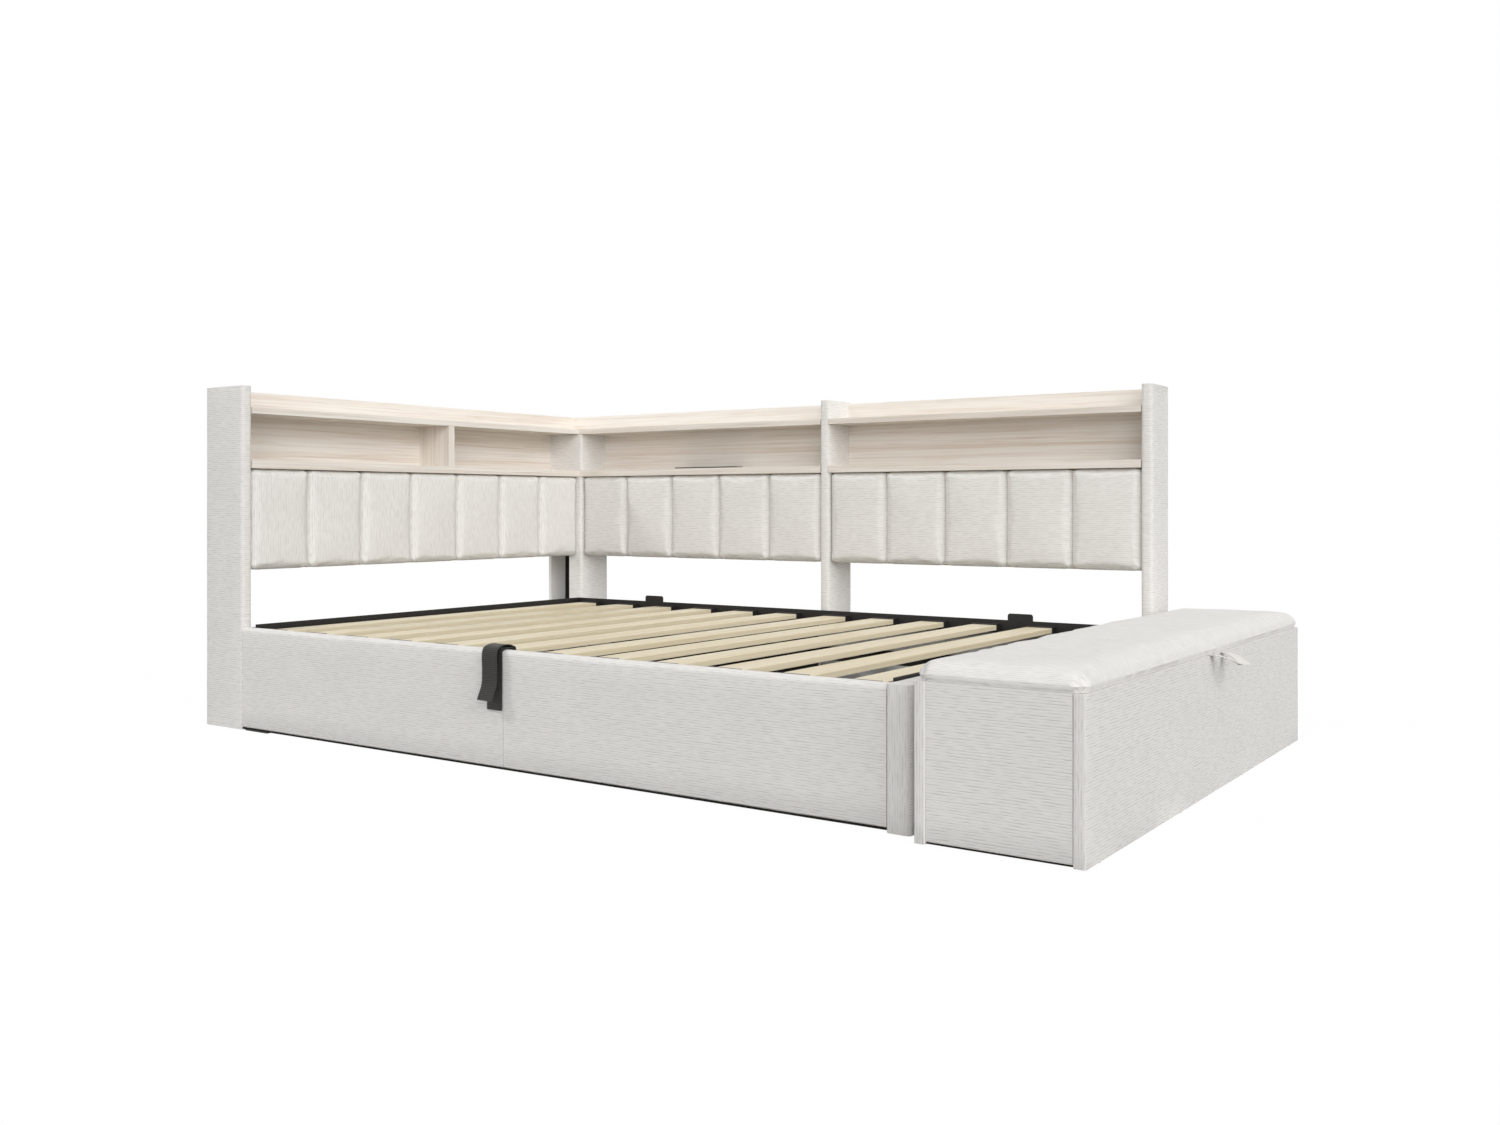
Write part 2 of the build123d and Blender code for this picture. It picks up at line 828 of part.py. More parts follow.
def knuckle_spans():
    """The lengths along a hinge that its two outer knuckles and its middle one take."""
    outer = [(0.0, hinge_end_knuckle), (hinge_length - hinge_end_knuckle, hinge_length)]
    middle = (hinge_end_knuckle + hinge_play, hinge_length - hinge_end_knuckle - hinge_play)
    return outer, middle


def lift_hinge_starts():
    return [head_depth + place - hinge_length / 2 for place in lift_hinge_positions]


def lift_axis_bar(x, radius):
    """A round bar on the lifting axis."""
    return bar((x[0], lift_axis_y, lift_axis_z), (x[1], lift_axis_y, lift_axis_z), radius)


def lift_hinge_base():
    """Leaf, outer knuckles and pin of one hinge, screwed to the rear rail."""
    outer, _ = knuckle_spans()
    y = (back_front - hinge_leaf, back_front)
    clear = lift_axis_z - hinge_knuckle_radius - hinge_play
    leaf = slab((0.0, hinge_length), y, (lift_axis_z - hinge_leaf_height, clear))
    for span in outer:
        leaf += slab(span, y, (clear, lift_axis_z)) + lift_axis_bar(span, hinge_knuckle_radius)
    return leaf + lift_axis_bar((0.0, hinge_length), hinge_pin_radius)


def lift_hinge_leaf():
    """Leaf and middle knuckle of one hinge, welded to the frame's rear bar."""
    _, middle = knuckle_spans()
    y = (frame_rear, frame_rear + hinge_leaf)
    clear = lift_axis_z - hinge_knuckle_radius - hinge_play
    leaf = slab((0.0, hinge_length), y, (frame_bottom, clear)) + slab(middle, y, (clear, lift_axis_z))
    leaf += lift_axis_bar(middle, hinge_knuckle_radius)
    return leaf - lift_axis_bar(middle, hinge_pin_radius + running_clearance)


def along_x(shape, starts):
    return Compound(children=[Pos(start, 0, 0) * shape for start in starts])


# Gas struts


def strut_direction():
    low_y, low_z = strut_place(strut_low_pivot)
    high_y, high_z = strut_place(strut_high_pivot)
    span = math.hypot(high_y - low_y, high_z - low_z)
    return (high_y - low_y) / span, (high_z - low_z) / span, span


def strut_point(distance):
    """A point on the head strut's axis, at a distance from its lower pivot."""
    low_y, low_z = strut_place(strut_low_pivot)
    step_y, step_z, _ = strut_direction()
    return (head_depth + strut_plane, low_y + distance * step_y, low_z + distance * step_z)


def strut_eye(place, bore):
    """A flat eye around an axis along X."""
    x, y, z = place
    start, end = (x - strut_eye_width / 2, y, z), (x + strut_eye_width / 2, y, z)
    return bar(start, end, strut_eye_radius) - bar(start, end, bore)


def strut_cylinder():
    """The gas tube with its lower eye and the gland that the rod runs through."""
    eye = strut_eye(strut_point(0.0), strut_stud_radius + running_clearance)
    neck = strut_eye_radius - strut_neck_sink
    tube_start = strut_eye_radius + strut_rod_radius
    neck_bar = bar(strut_point(neck), strut_point(tube_start + strut_neck_sink), strut_rod_radius)
    tube = bar(strut_point(tube_start), strut_point(strut_tube_end), strut_tube_radius)
    bore_start = strut_point(tube_start + strut_tube_radius)
    bore_end = strut_point(strut_tube_end - strut_tube_radius)
    tube -= bar(bore_start, bore_end, strut_tube_radius - strut_tube_wall)
    tube -= bar(bore_end, strut_point(strut_tube_end), strut_rod_radius + running_clearance)
    return eye + neck_bar + tube


def strut_rod():
    """The rod with its piston inside the tube and its upper eye."""
    _, _, span = strut_direction()
    piston_end = strut_piston_start + strut_piston_length
    piston_radius = strut_tube_radius - strut_tube_wall - running_clearance
    piston = bar(strut_point(strut_piston_start), strut_point(piston_end), piston_radius)
    rod_end = span - strut_eye_radius + strut_neck_sink
    rod = bar(strut_point(strut_piston_start), strut_point(rod_end), strut_rod_radius)
    eye = strut_eye(strut_point(span), strut_stud_radius + strut_open_clearance)
    return piston + rod + eye


def strut_lower_bracket():
    """A plate on the head rail with the stud of the strut's lower end."""
    y, z = strut_place(strut_low_pivot)
    low = floor_level + floor_thickness
    x = (head_depth, head_depth + bracket_wall)
    plate = slab(x, (y - bracket_leg / 2, y + bracket_leg / 2), (low, low + bracket_leg))
    near = head_depth + strut_plane - strut_eye_width / 2 - hinge_play
    boss = bar((head_depth, y, z), (near, y, z), strut_boss_radius)
    return plate + boss + strut_stud(near, y, z)


def strut_lower_brackets():
    head = strut_lower_bracket()
    return Compound(children=[head, mirrored(head)])


# Storage bench


def bench_side(x):
    y = (bench_front, bench_rear)
    return covered_board(
        x, y, (bench_glide_height, bench_body_top), all_corners(x, y), bench_edge_radius, bench_end_recess
    )


def bench_ends():
    x = (bench_left + bench_board, bench_right - bench_board)
    z = (bench_end_lift, bench_body_top)
    front = bench_front + bench_end_recess
    rear = bench_rear - bench_end_recess
    return Compound(
        children=[slab(x, (front, front + bench_board), z), slab(x, (rear - bench_board, rear), z)]
    )


def bench_inner_span():
    edge = bench_end_recess + bench_board
    return (bench_front + edge, bench_rear - edge)


def bench_floor():
    x = (bench_left + bench_board, bench_right - bench_board)
    z = (bench_floor_level, bench_floor_level + bench_floor_thickness)
    return slab(x, bench_inner_span(), z)


def bench_glides():
    pieces = []
    for x in (bench_left + bench_board / 2, bench_right - bench_board / 2):
        for number in range(bench_glides_per_side):
            from_middle = (number - (bench_glides_per_side - 1) / 2) * bench_glide_spacing
            y = bench_front + bench_length / 2 + from_middle
            pieces.append(Pos(x, y, 0) * Cylinder(bench_glide_radius, bench_glide_height, align=LOW))
    return Compound(children=pieces)


def lid_outline():
    return (bench_left, bench_right), (bench_front, bench_rear)


def bench_lid_board():
    """The lid's covered board, rounded at its upright corners."""
    x, y = lid_outline()
    body = slab(x, y, (lid_bottom, lid_board_top))
    return fillet(body.edges().filter_by(Axis.Z), lid_corner_radius)


def crowned_span(length):
    """A crowned side view over a length: short upright ends, round shoulders, a low arch."""
    radius = lid_edge_radius
    bend = radius * (1 - math.sqrt(0.5))
    top = lid_crown - lid_crown_drop
    shoulder = top - radius
    points = [
        Line((0, 0), (0, shoulder)),
        ThreePointArc((0, shoulder), (bend, shoulder + radius - bend), (radius, top)),
        ThreePointArc((radius, top), (length / 2, lid_crown), (length - radius, top)),
        ThreePointArc((length - radius, top), (length - bend, top - bend), (length, shoulder)),
        Line((length, shoulder), (length, 0)),
        Line((length, 0), (0, 0)),
    ]
    return make_face(points)


def bench_lid_pad():
    """The lid's padding: crowned both ways, with rounded corners."""
    x, y = lid_outline()
    across = extrude(Plane.XZ * crowned_span(bench_width), -bench_length)
    along = extrude(Plane.YZ * crowned_span(bench_length), bench_width)
    block = Box(bench_width, bench_length, lid_crown, align=(Align.MIN, Align.MIN, Align.MIN))
    block = fillet(block.edges().filter_by(Axis.Z), lid_corner_radius)
    return Pos(x[0], y[0], lid_board_top) * (across & along & block)


def lid_pull_loop():
    """A webbing loop that hangs out from the lid's outer edge."""
    centre_x = bench_right + loop_reach - loop_thickness / 2 - loop_tip_radius
    high_z = lid_bottom + loop_thickness / 2 + loop_root_spread
    low_z = high_z - loop_root_spread
    centre_z = low_z - loop_droop + loop_tip_radius
    tip_low = (centre_x, centre_z - loop_tip_radius)
    upper_start = (bench_right, high_z)
    tip_high = (centre_x + loop_tip_radius, centre_z)
    upper = TangentArc(upper_start, tip_high, tangent=(1, 0))
    bend = loop_tip_radius * math.sqrt(0.5)
    tip = ThreePointArc(tip_high, (centre_x + bend, centre_z - bend), tip_low)
    lower = TangentArc(tip_low, (bench_right, low_z), tangent=(-1, 0))
    strip = Plane.XZ * trace([upper, tip, lower], loop_thickness)
    body = extrude(strip, loop_width / 2, both=True)
    lid_side = slab((bench_right - loop_reach, bench_right), (-loop_width, loop_width), (0.0, lid_top))
    return Pos(0, loop_middle_y, 0) * (body - lid_side)


def lid_hinge_starts():
    middle = bench_front + bench_length / 2 - hinge_length / 2
    return [middle + number * lid_hinge_spacing for number in (-1, 0, 1)]


def lid_axis_bar(y, radius):
    """A round bar on the lid's axis."""
    return bar((lid_axis_x, y[0], lid_axis_z), (lid_axis_x, y[1], lid_axis_z), radius)


def lid_hinge_base():
    """Leaf on the bench's inner side, reaching up to the outer knuckles and the pin."""
    outer, _ = knuckle_spans()
    x = (bench_left - hinge_leaf, bench_left)
    low_z, split = bench_body_top - lid_leaf_drop, bench_body_top - hinge_leaf
    leaf = slab(x, (0.0, hinge_length), (low_z, split))
    for span in outer:
        leaf += slab(x, span, (split, lid_axis_z)) + lid_axis_bar(span, lid_knuckle_radius)
    return leaf + lid_axis_bar((0.0, hinge_length), lid_pin_radius)


def lid_hinge_leaf():
    """Leaf on the edge of the lid board with the middle knuckle."""
    _, middle = knuckle_spans()
    x = (bench_left - hinge_leaf, bench_left)
    leaf = slab(x, middle, (lid_bottom + hinge_play, lid_axis_z))
    leaf += lid_axis_bar(middle, lid_knuckle_radius)
    return leaf - lid_axis_bar(middle, lid_pin_radius + running_clearance)


def along_y(shape, starts):
    return Compound(children=[Pos(0, start, 0) * shape for start in starts])


def build_pieces():
    """Every sub-part by its node name."""
    left_bay, right_bay = (post_right, mid_left), (mid_right, end_panel_inner)
    return {
        "head_front_panel": head_front_panel(),
        "head_rear_panel": head_rear_panel(),
        "head_corner_leg": head_corner_leg(),
        "head_shelf": head_shelf(),
        "head_top_shelf": head_top_shelf(),
        "head_back_board": head_back_board(),
        "head_divider": head_divider(),
        "head_pad": head_pad(),
        "corner_post": corner_post(),
        "corner_block": corner_block(),
        "mid_panel": back_panel((mid_left, mid_right)),
        "end_panel": back_panel((end_panel_inner, end_panel_outer)),
        "mid_shelf": mid_shelf(),
        "mid_top_shelf": back_top_shelf((head_depth, mid_left)),
        "mid_back_board": back_board((head_back_face, mid_left)),
        "mid_pad": back_pad(left_bay),
        "right_shelf": back_shelf(right_bay),
        "right_top_shelf": back_top_shelf(right_bay),
        "right_back_board": back_board(right_bay),
        "right_pad": back_pad(right_bay),
        "pad_boards": pad_boards(),
        "power_unit": power_unit(),
        "dust_linings": dust_linings(),
        "front_rail_head_half": front_rail((head_depth, rail_seam_x - rail_seam_gap / 2)),
        "front_rail_foot_half": front_rail((rail_seam_x + rail_seam_gap / 2, foot_rail_face)),
        "foot_rail": foot_rail(),
        "head_rail": head_rail(),
        "rear_rails": rear_rails(),
        "storage_divider": storage_divider(),
        "storage_floor": storage_floor(),
        "rail_cleats": rail_cleats(),
        "bed_feet": bed_feet(),
        "rail_brackets": rail_brackets(),
        "lift_hinge_bases": along_x(lift_hinge_base(), lift_hinge_starts()),
        "strut_lower_brackets": strut_lower_brackets(),
        "frame_front_bar": front_bar(),
        "frame_rear_bar": rear_bar(),
        "frame_end_bars": frame_end_bars(),
        "frame_beams": frame_beams(),
        "slats": slats(),
        "slat_caps": slat_caps(),
        "mattress_stops": mattress_stops(),
        "lift_strap": lift_strap(),
        "lift_hinge_leaves": along_x(lift_hinge_leaf(), lift_hinge_starts()),
        "head_strut_cylinder": strut_cylinder(),
        "head_strut_rod": strut_rod(),
        "foot_strut_cylinder": mirrored(strut_cylinder()),
        "foot_strut_rod": mirrored(strut_rod()),
        "bench_inner_side": bench_side((bench_left, bench_left + bench_board)),
        "bench_outer_side": bench_side((bench_right - bench_board, bench_right)),
        "bench_ends": bench_ends(),
        "bench_floor": bench_floor(),
        "bench_glides": bench_glides(),
        "lid_hinge_bases": along_y(lid_hinge_base(), lid_hinge_starts()),
        "bench_lid_board": bench_lid_board(),
        "bench_lid_pad": bench_lid_pad(),
        "lid_pull_loop": lid_pull_loop(),
        "lid_hinge_leaves": along_y(lid_hinge_leaf(), lid_hinge_starts()),
    }


pieces = build_pieces()
boxes = [shape.bounding_box() for shape in pieces.values()]
middle_x = (min(box.min.X for box in boxes) + max(box.max.X for box in boxes)) / 2
middle_y = (min(box.min.Y for box in boxes) + max(box.max.Y for box in boxes)) / 2
for name, shape in pieces.items():
    export_step(Pos(-middle_x, -middle_y, 0) * shape, f"parts/{name}.step")
print(f"{len(pieces)} pieces, origin at X {middle_x:.3f}, Y {middle_y:.3f} of the front corner")
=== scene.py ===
"""The looks of a corner storage bed with bookcases and a bench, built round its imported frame."""

import math

import bmesh
import bpy
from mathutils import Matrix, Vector, noise


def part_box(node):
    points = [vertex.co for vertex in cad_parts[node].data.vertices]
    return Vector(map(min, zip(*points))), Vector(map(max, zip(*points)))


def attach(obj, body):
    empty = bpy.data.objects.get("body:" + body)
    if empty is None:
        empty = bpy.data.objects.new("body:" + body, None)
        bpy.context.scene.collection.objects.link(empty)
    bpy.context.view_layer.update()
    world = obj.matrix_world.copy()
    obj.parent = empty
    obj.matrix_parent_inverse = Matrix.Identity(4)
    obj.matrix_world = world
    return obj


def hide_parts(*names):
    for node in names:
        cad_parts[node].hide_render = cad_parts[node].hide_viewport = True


bl_info = {
    "name": "Corner storage bed",
    "version": (1, 0, 0),
    "blender": (4, 5, 0),
    "location": "View3D > Sidebar > Corner bed",
    "description": "Covers, pads, webbing and finishes for a corner storage bed with a bench",
    "category": "Add Mesh",
}

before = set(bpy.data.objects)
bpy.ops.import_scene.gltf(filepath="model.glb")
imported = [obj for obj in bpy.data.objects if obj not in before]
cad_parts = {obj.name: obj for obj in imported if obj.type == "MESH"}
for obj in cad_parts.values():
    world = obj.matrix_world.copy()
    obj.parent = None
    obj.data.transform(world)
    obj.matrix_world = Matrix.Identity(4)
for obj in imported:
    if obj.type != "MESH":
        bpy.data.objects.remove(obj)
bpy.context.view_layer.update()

X, Y, Z = 0, 1, 2
MM = 0.001
NEAR = 1e-5
WEAVE_MAP = "weave"


def linear(hex_colour):
    """An sRGB hex colour as the linear red, green, blue and alpha that a shader takes."""
    channels = [int(hex_colour[place : place + 2], 16) / 255 for place in (1, 3, 5)]
    return [c / 12.92 if c <= 0.04045 else ((c + 0.055) / 1.055) ** 2.4 for c in channels] + [1.0]


# What a user would change


def colour_setting(name, description, hex_colour):
    return bpy.props.FloatVectorProperty(
        name=name, description=description, subtype="COLOR", size=4, min=0.0, max=1.0, default=linear(hex_colour)
    )


def length_setting(name, description, metres):
    return bpy.props.FloatProperty(
        name=name, description=description, subtype="DISTANCE", unit="LENGTH", min=0.0, default=metres
    )


class CornerBedCover(bpy.types.PropertyGroup):
    """The ribbed cover of the boards, pads and bench."""

    thread: colour_setting("Cover", "Colour of the cover's yarn where it stands proud", "#eae8e5")
    # The groove colour is painted shade in the hollows between the ribs
    groove_shade: colour_setting("Groove", "Colour between the ribs", "#bcb9b3")
    lining: colour_setting("Lining", "Colour of the lining under the boards", "#1c1a17")
    rib_spacing: length_setting("Rib spacing", "Distance between two ribs of the weave", 0.0057)
    rib_run: length_setting("Rib run", "Length of a slub along a rib", 0.100)
    rib_height: length_setting("Rib height", "Depth of the grooves between ribs", 0.0005)
    contrast: bpy.props.FloatProperty(name="Contrast", description="How plainly the grooves show", default=0.47)
    edge_radius: length_setting("Edge radius", "Rounding of a covered board's upright edges", 0.011)
    top_radius: length_setting("Top radius", "Rounding of a covered board's top edges", 0.007)
    rail_radius: length_setting("Rail radius", "Rounding along the top of a rail", 0.014)
    unevenness: length_setting("Unevenness", "How far the padding under a cover dips", 0.0009)


class CornerBedPadding(bpy.types.PropertyGroup):
    """The channelled pads and the lid's cushion."""

    seam_depth: length_setting("Seam depth", "Depth of the sewn channels between a pad's bars", 0.020)
    shoulder: length_setting("Shoulder", "Radius of a bar's rounded edges", 0.018)
    corner: length_setting("Corner", "Radius of a bar's corners seen from the front", 0.013)
    crown: length_setting("Crown", "How far the middle of a bar swells", 0.005)
    notch: length_setting("Notch", "How far the seams draw in a pad's top and bottom edges", 0.005)
    lid_shoulder: length_setting("Lid shoulder", "How far in from its edge the bench lid's cushion rounds over", 0.060)
    lid_corner: length_setting("Lid corner", "Radius of the lid's upright corners", 0.030)


class CornerBedWood(bpy.types.PropertyGroup):
    """The whitewashed boards, the slats and the plain boards inside."""

    whitewash: colour_setting("Whitewash", "Main colour of the shelves", "#ebe6df")
    streak: colour_setting("Streak", "Colour of the grain under the whitewash", "#cdbfb0")
    birch: colour_setting("Birch", "Main colour of the slats", "#ebe0c6")
    birch_streak: colour_setting("Birch streak", "Grain of the slats", "#d9c8a0")
    grain_width: length_setting("Grain width", "Width of a streak across the grain", 0.006)
    grain_run: length_setting("Grain run", "Length of a streak along the grain", 0.42)


class CornerBedMetal(bpy.types.PropertyGroup):
    """The lifting frame, the struts and the small fittings."""

    powder: colour_setting("Powder coat", "Colour of the coated steel frame", "#1b1916")
    plastic: colour_setting("Plastic", "Colour of caps, glides and struts' ends", "#1d1d1c")
    webbing: colour_setting("Webbing", "Colour of the lifting strap", "#37342f")
    orange_peel: length_setting("Orange peel", "Spacing of the powder coat's ripples", 0.0012)


class CornerBedStudio(bpy.types.PropertyGroup):
    """Light, floor and camera."""

    sky: bpy.props.FloatProperty(name="Sky", description="Strength of the even light all round", default=0.58)
    key: bpy.props.FloatProperty(name="Key", description="Sun strength from the upper left", default=0.6)
    side: bpy.props.FloatProperty(name="Side", description="Sun strength from the right", default=1.4)
    front: bpy.props.FloatProperty(name="Front", description="Sun strength from the front, low down", default=0.95)
    paper: colour_setting("Paper", "Colour of the floor", "#7d7d7d")


SETTINGS = {
    "bed_cover": CornerBedCover,
    "bed_padding": CornerBedPadding,
    "bed_wood": CornerBedWood,
    "bed_metal": CornerBedMetal,
    "bed_studio": CornerBedStudio,
}

# Materials


def add_node(tree, kind, sockets=None, **settings):
    """Adds a node with its settings; a socket gets a value, another node's output, or a node's first output."""
    node = tree.nodes.new("ShaderNode" + kind)
    for name, value in settings.items():
        setattr(node, name, value)
    for socket, value in (sockets or {}).items():
        if isinstance(value, bpy.types.Node):
            value = value.outputs[0]
        if isinstance(value, bpy.types.NodeSocket):
            tree.links.new(value, node.inputs[socket])
        else:
            node.inputs[socket].default_value = value
    return node


def new_material(name):
    """An empty material and its tree."""
    material = bpy.data.materials.new(name)
    material.use_nodes = True
    material.node_tree.nodes.clear()
    return material, material.node_tree


def close_material(tree, colour, roughness, pattern, strength, depth, inverted=False, **gloss):
    """Ends a material: a colour, a roughness, and a bump from a pattern to a depth in metres."""
    bump = add_node(tree, "Bump", {"Strength": strength, "Distance": depth, "Height": pattern}, invert=inverted)
    sockets = {"Base Color": colour, "Roughness": roughness, "Normal": bump}
    sockets.update({name.replace("_", " "): value for name, value in gloss.items()})
    add_node(tree, "OutputMaterial", {"Surface": add_node(tree, "BsdfPrincipled", sockets)})


def streak_noise(tree, place, scale, detail, roughness=0.55):
    """Noise stretched by scale, which is one over a size in metres along each axis."""
    stretched = add_node(tree, "Mapping", {"Vector": place, "Scale": scale})
    sockets = {"Vector": stretched, "Scale": 1.0, "Detail": detail, "Roughness": roughness}
    return add_node(tree, "TexNoise", sockets)


def darker(colour, share):
    return [channel * share for channel in colour[:3]] + [1]


def cover_fabric(name):
    """Linen-look polyester with slubbed ribs: matt, with broken shadow lines between the ribs."""
    cover = bpy.context.scene.bed_cover
    material, tree = new_material(name)
    # The weave map holds metres along the ribs, then across them
    place = add_node(tree, "UVMap", uv_map=WEAVE_MAP)
    across = 1 / cover.rib_spacing
    along = 1 / cover.rib_run
    parts = add_node(tree, "SeparateXYZ", {0: place})
    # Ribs drift by up to 0.9 of their spacing over a few runs
    wobble = streak_noise(tree, place, (along * 0.35, across * 0.2, 1), 1.0)
    rows = add_node(tree, "Math", {0: parts.outputs[1], 1: across}, operation="MULTIPLY")
    rows = add_node(tree, "Math", {0: wobble, 1: 0.9, 2: rows}, operation="MULTIPLY_ADD")
    turns = add_node(tree, "Math", {0: rows, 1: 2 * math.pi}, operation="MULTIPLY")
    wave = add_node(tree, "Math", {0: turns}, operation="SINE")
    shadow = add_node(tree, "MapRange", {0: wave, 1: 0.0, 2: 0.95})
    # Breaks cut the shadow lines every third of a run, and slubs fleck the yarn
    breaks = streak_noise(tree, place, (along * 3.2, across, 1), 1.0)
    breaks = add_node(tree, "MapRange", {0: breaks, 1: 0.40, 2: 0.62, 3: 0.1, 4: 1.0})
    slubs = streak_noise(tree, place, (along * 4.0, across * 2.6, 1), 1.0)
    slubs = add_node(tree, "MapRange", {0: slubs, 1: 0.60, 2: 0.36, 3: 0.0, 4: 0.32})
    groove_shade_and_slubs = add_node(tree, "Math", {0: shadow, 1: breaks, 2: slubs}, operation="MULTIPLY_ADD")
    amount = add_node(tree, "Math", {0: groove_shade_and_slubs, 1: cover.contrast}, operation="MULTIPLY")
    # Mixes in the groove colour as painted shade between the ribs; the slubs are the yarn's own flecks
    yarn = add_node(tree, "Mix", {0: amount, 6: tuple(cover.thread), 7: tuple(cover.groove_shade)}, data_type="RGBA")
    # Cloudy patches about 0.2 m wide
    tone = add_node(tree, "MapRange", {0: streak_noise(tree, place, (5, 8, 1), 1.0), 1: 0.35, 2: 0.65})
    tone = add_node(tree, "Mix", {0: tone, 6: (0.98, 0.98, 0.98, 1), 7: (1, 1, 1, 1)}, data_type="RGBA")
    tinted = add_node(
        tree, "Mix", {0: 1.0, 6: yarn.outputs[2], 7: tone.outputs[2]}, data_type="RGBA", blend_type="MULTIPLY"
    )
    height = add_node(tree, "Math", {0: 1.0, 1: groove_shade_and_slubs}, operation="SUBTRACT")
    close_material(
        tree, tinted.outputs[2], 0.92, height, 0.55, cover.rib_height,
        IOR=1.46, Specular_IOR_Level=0.25, Sheen_Weight=0.12, Sheen_Roughness=0.5,
    )
    return material


def webbing(name, colour, groove_shade, rib, height):
    """Woven webbing or ribbon: cross ribs, a soft dull gloss."""
    material, tree = new_material(name)
    place = add_node(tree, "UVMap", uv_map=WEAVE_MAP)
    parts = add_node(tree, "SeparateXYZ", {0: place})
    turns = add_node(tree, "Math", {0: parts.outputs[0], 1: 2 * math.pi / rib}, operation="MULTIPLY")
    wave = add_node(tree, "Math", {0: turns}, operation="SINE")
    ribs = add_node(tree, "MapRange", {0: wave, 1: -0.6, 2: 0.8})
    # Single yarns, 1 by 3 mm
    fuzz = streak_noise(tree, place, (900, 350, 1), 1.0)
    fuzz = add_node(tree, "MapRange", {0: fuzz, 1: 0.3, 2: 0.7, 3: 0.8, 4: 1.0})
    level = add_node(tree, "Math", {0: ribs, 1: fuzz}, operation="MULTIPLY")
    # The groove colour is painted shade between the cross ribs
    woven = add_node(tree, "Mix", {0: level, 6: groove_shade, 7: colour}, data_type="RGBA")
    close_material(tree, woven.outputs[2], 0.75, level, 0.7, height, IOR=1.49, Sheen_Weight=0.1)
    return material


def grained_wood(name, main, streak, grain_axis, roughness=0.42, contrast=0.75, layers=None):
    """Wood, streaked along one axis: satin lacquer over fine open grain."""
    wood = bpy.context.scene.bed_wood
    material, tree = new_material(name)
    place = add_node(tree, "TexCoord").outputs["Object"]
    scale = [1 / wood.grain_width] * 3
    scale[grain_axis] = 1 / wood.grain_run
    if layers:
        scale[Z] = 1 / layers
    # Broad bands, the grain itself, and pores a third as wide
    bands = streak_noise(tree, place, [value * 0.22 for value in scale], 2.0)
    bands = add_node(tree, "MapRange", {0: bands, 1: 0.4, 2: 0.7, 3: 0.0, 4: 0.5})
    grain = streak_noise(tree, place, scale, 3.0, 0.6)
    lines = add_node(tree, "MapRange", {0: grain, 1: 0.42, 2: 0.72, 3: 0.0, 4: 0.7})
    pores = streak_noise(tree, place, [value * 2.6 for value in scale], 1.0)
    pores = add_node(tree, "MapRange", {0: pores, 1: 0.60, 2: 0.72, 3: 0.0, 4: 0.5})
    veil = add_node(tree, "Math", {0: lines, 1: bands}, operation="ADD")
    veil = add_node(tree, "Math", {0: veil, 1: pores}, operation="ADD")
    amount = add_node(tree, "Math", {0: veil, 1: contrast}, operation="MULTIPLY")
    colour = add_node(tree, "Mix", {0: amount, 6: main, 7: streak}, data_type="RGBA")
    gloss = add_node(tree, "MapRange", {0: grain, 1: 0.3, 2: 0.7, 3: roughness, 4: roughness + 0.12})
    close_material(tree, colour.outputs[2], gloss, pores, 0.25, 0.2 * MM, True, IOR=1.5)
    return material


def coated_steel(name, colour, ripple, roughness, metallic=0.0, depth=0.15 * MM):
    """Coated or plated steel: fine ripples from the coating."""
    material, tree = new_material(name)
    place = add_node(tree, "TexCoord").outputs["Object"]
    ripples = streak_noise(tree, place, (1 / ripple,) * 3, 1.0)
    # Clouds about 70 mm wide in tone and gloss
    cloud = streak_noise(tree, place, (14, 14, 14), 2.0)
    shade = add_node(tree, "MapRange", {0: cloud, 1: 0.3, 2: 0.7, 3: 0.0, 4: 0.25})
    tone = add_node(tree, "Mix", {0: shade, 6: colour, 7: darker(colour, 0.8)}, data_type="RGBA")
    gloss = add_node(tree, "MapRange", {0: cloud, 1: 0.3, 2: 0.7, 3: roughness - 0.05, 4: roughness + 0.08})
    close_material(tree, tone.outputs[2], gloss, ripples, 0.3, depth, Metallic=metallic)
    return material


def cast_plastic(name, colour, roughness=0.5):
    """Moulded ABS or nylon: a fine spark-eroded grain, dull."""
    material, tree = new_material(name)
    place = add_node(tree, "TexCoord").outputs["Object"]
    # Grain of 0.7 mm
    grain = streak_noise(tree, place, (1500, 1500, 1500), 1.0)
    shade = add_node(tree, "MapRange", {0: grain, 1: 0.3, 2: 0.7})
    tone = add_node(tree, "Mix", {0: shade, 6: colour, 7: darker(colour, 0.85)}, data_type="RGBA")
    close_material(tree, tone.outputs[2], roughness, grain, 0.25, 0.1 * MM, IOR=1.53)
    return material


def lining_felt(name, colour):
    """Black spunbonded lining: dull, with small pressed dots."""
    material, tree = new_material(name)
    place = add_node(tree, "TexCoord").outputs["Object"]
    # Dots 2.2 mm apart and fibres of 1.4 mm
    dots = add_node(tree, "TexVoronoi", {"Vector": place, "Scale": 450.0})
    fibres = streak_noise(tree, place, (700, 700, 700), 2.0)
    shade = add_node(tree, "MapRange", {0: fibres, 1: 0.3, 2: 0.7})
    tone = add_node(tree, "Mix", {0: shade, 6: colour, 7: darker(colour, 1.6)}, data_type="RGBA")
    close_material(tree, tone.outputs[2], 0.95, dots, 0.5, 0.3 * MM, Specular_IOR_Level=0.2)
    return material


def seen_share(tree):
    """1 for what the camera sees, by itself or in gloss or glass, and 0 for light on the object."""
    rays = add_node(tree, "LightPath").outputs
    seen = add_node(tree, "Math", {0: rays["Is Camera Ray"], 1: rays["Is Glossy Ray"]}, operation="MAXIMUM")
    return add_node(tree, "Math", {0: seen, 1: rays["Is Transmission Ray"]}, operation="MAXIMUM")


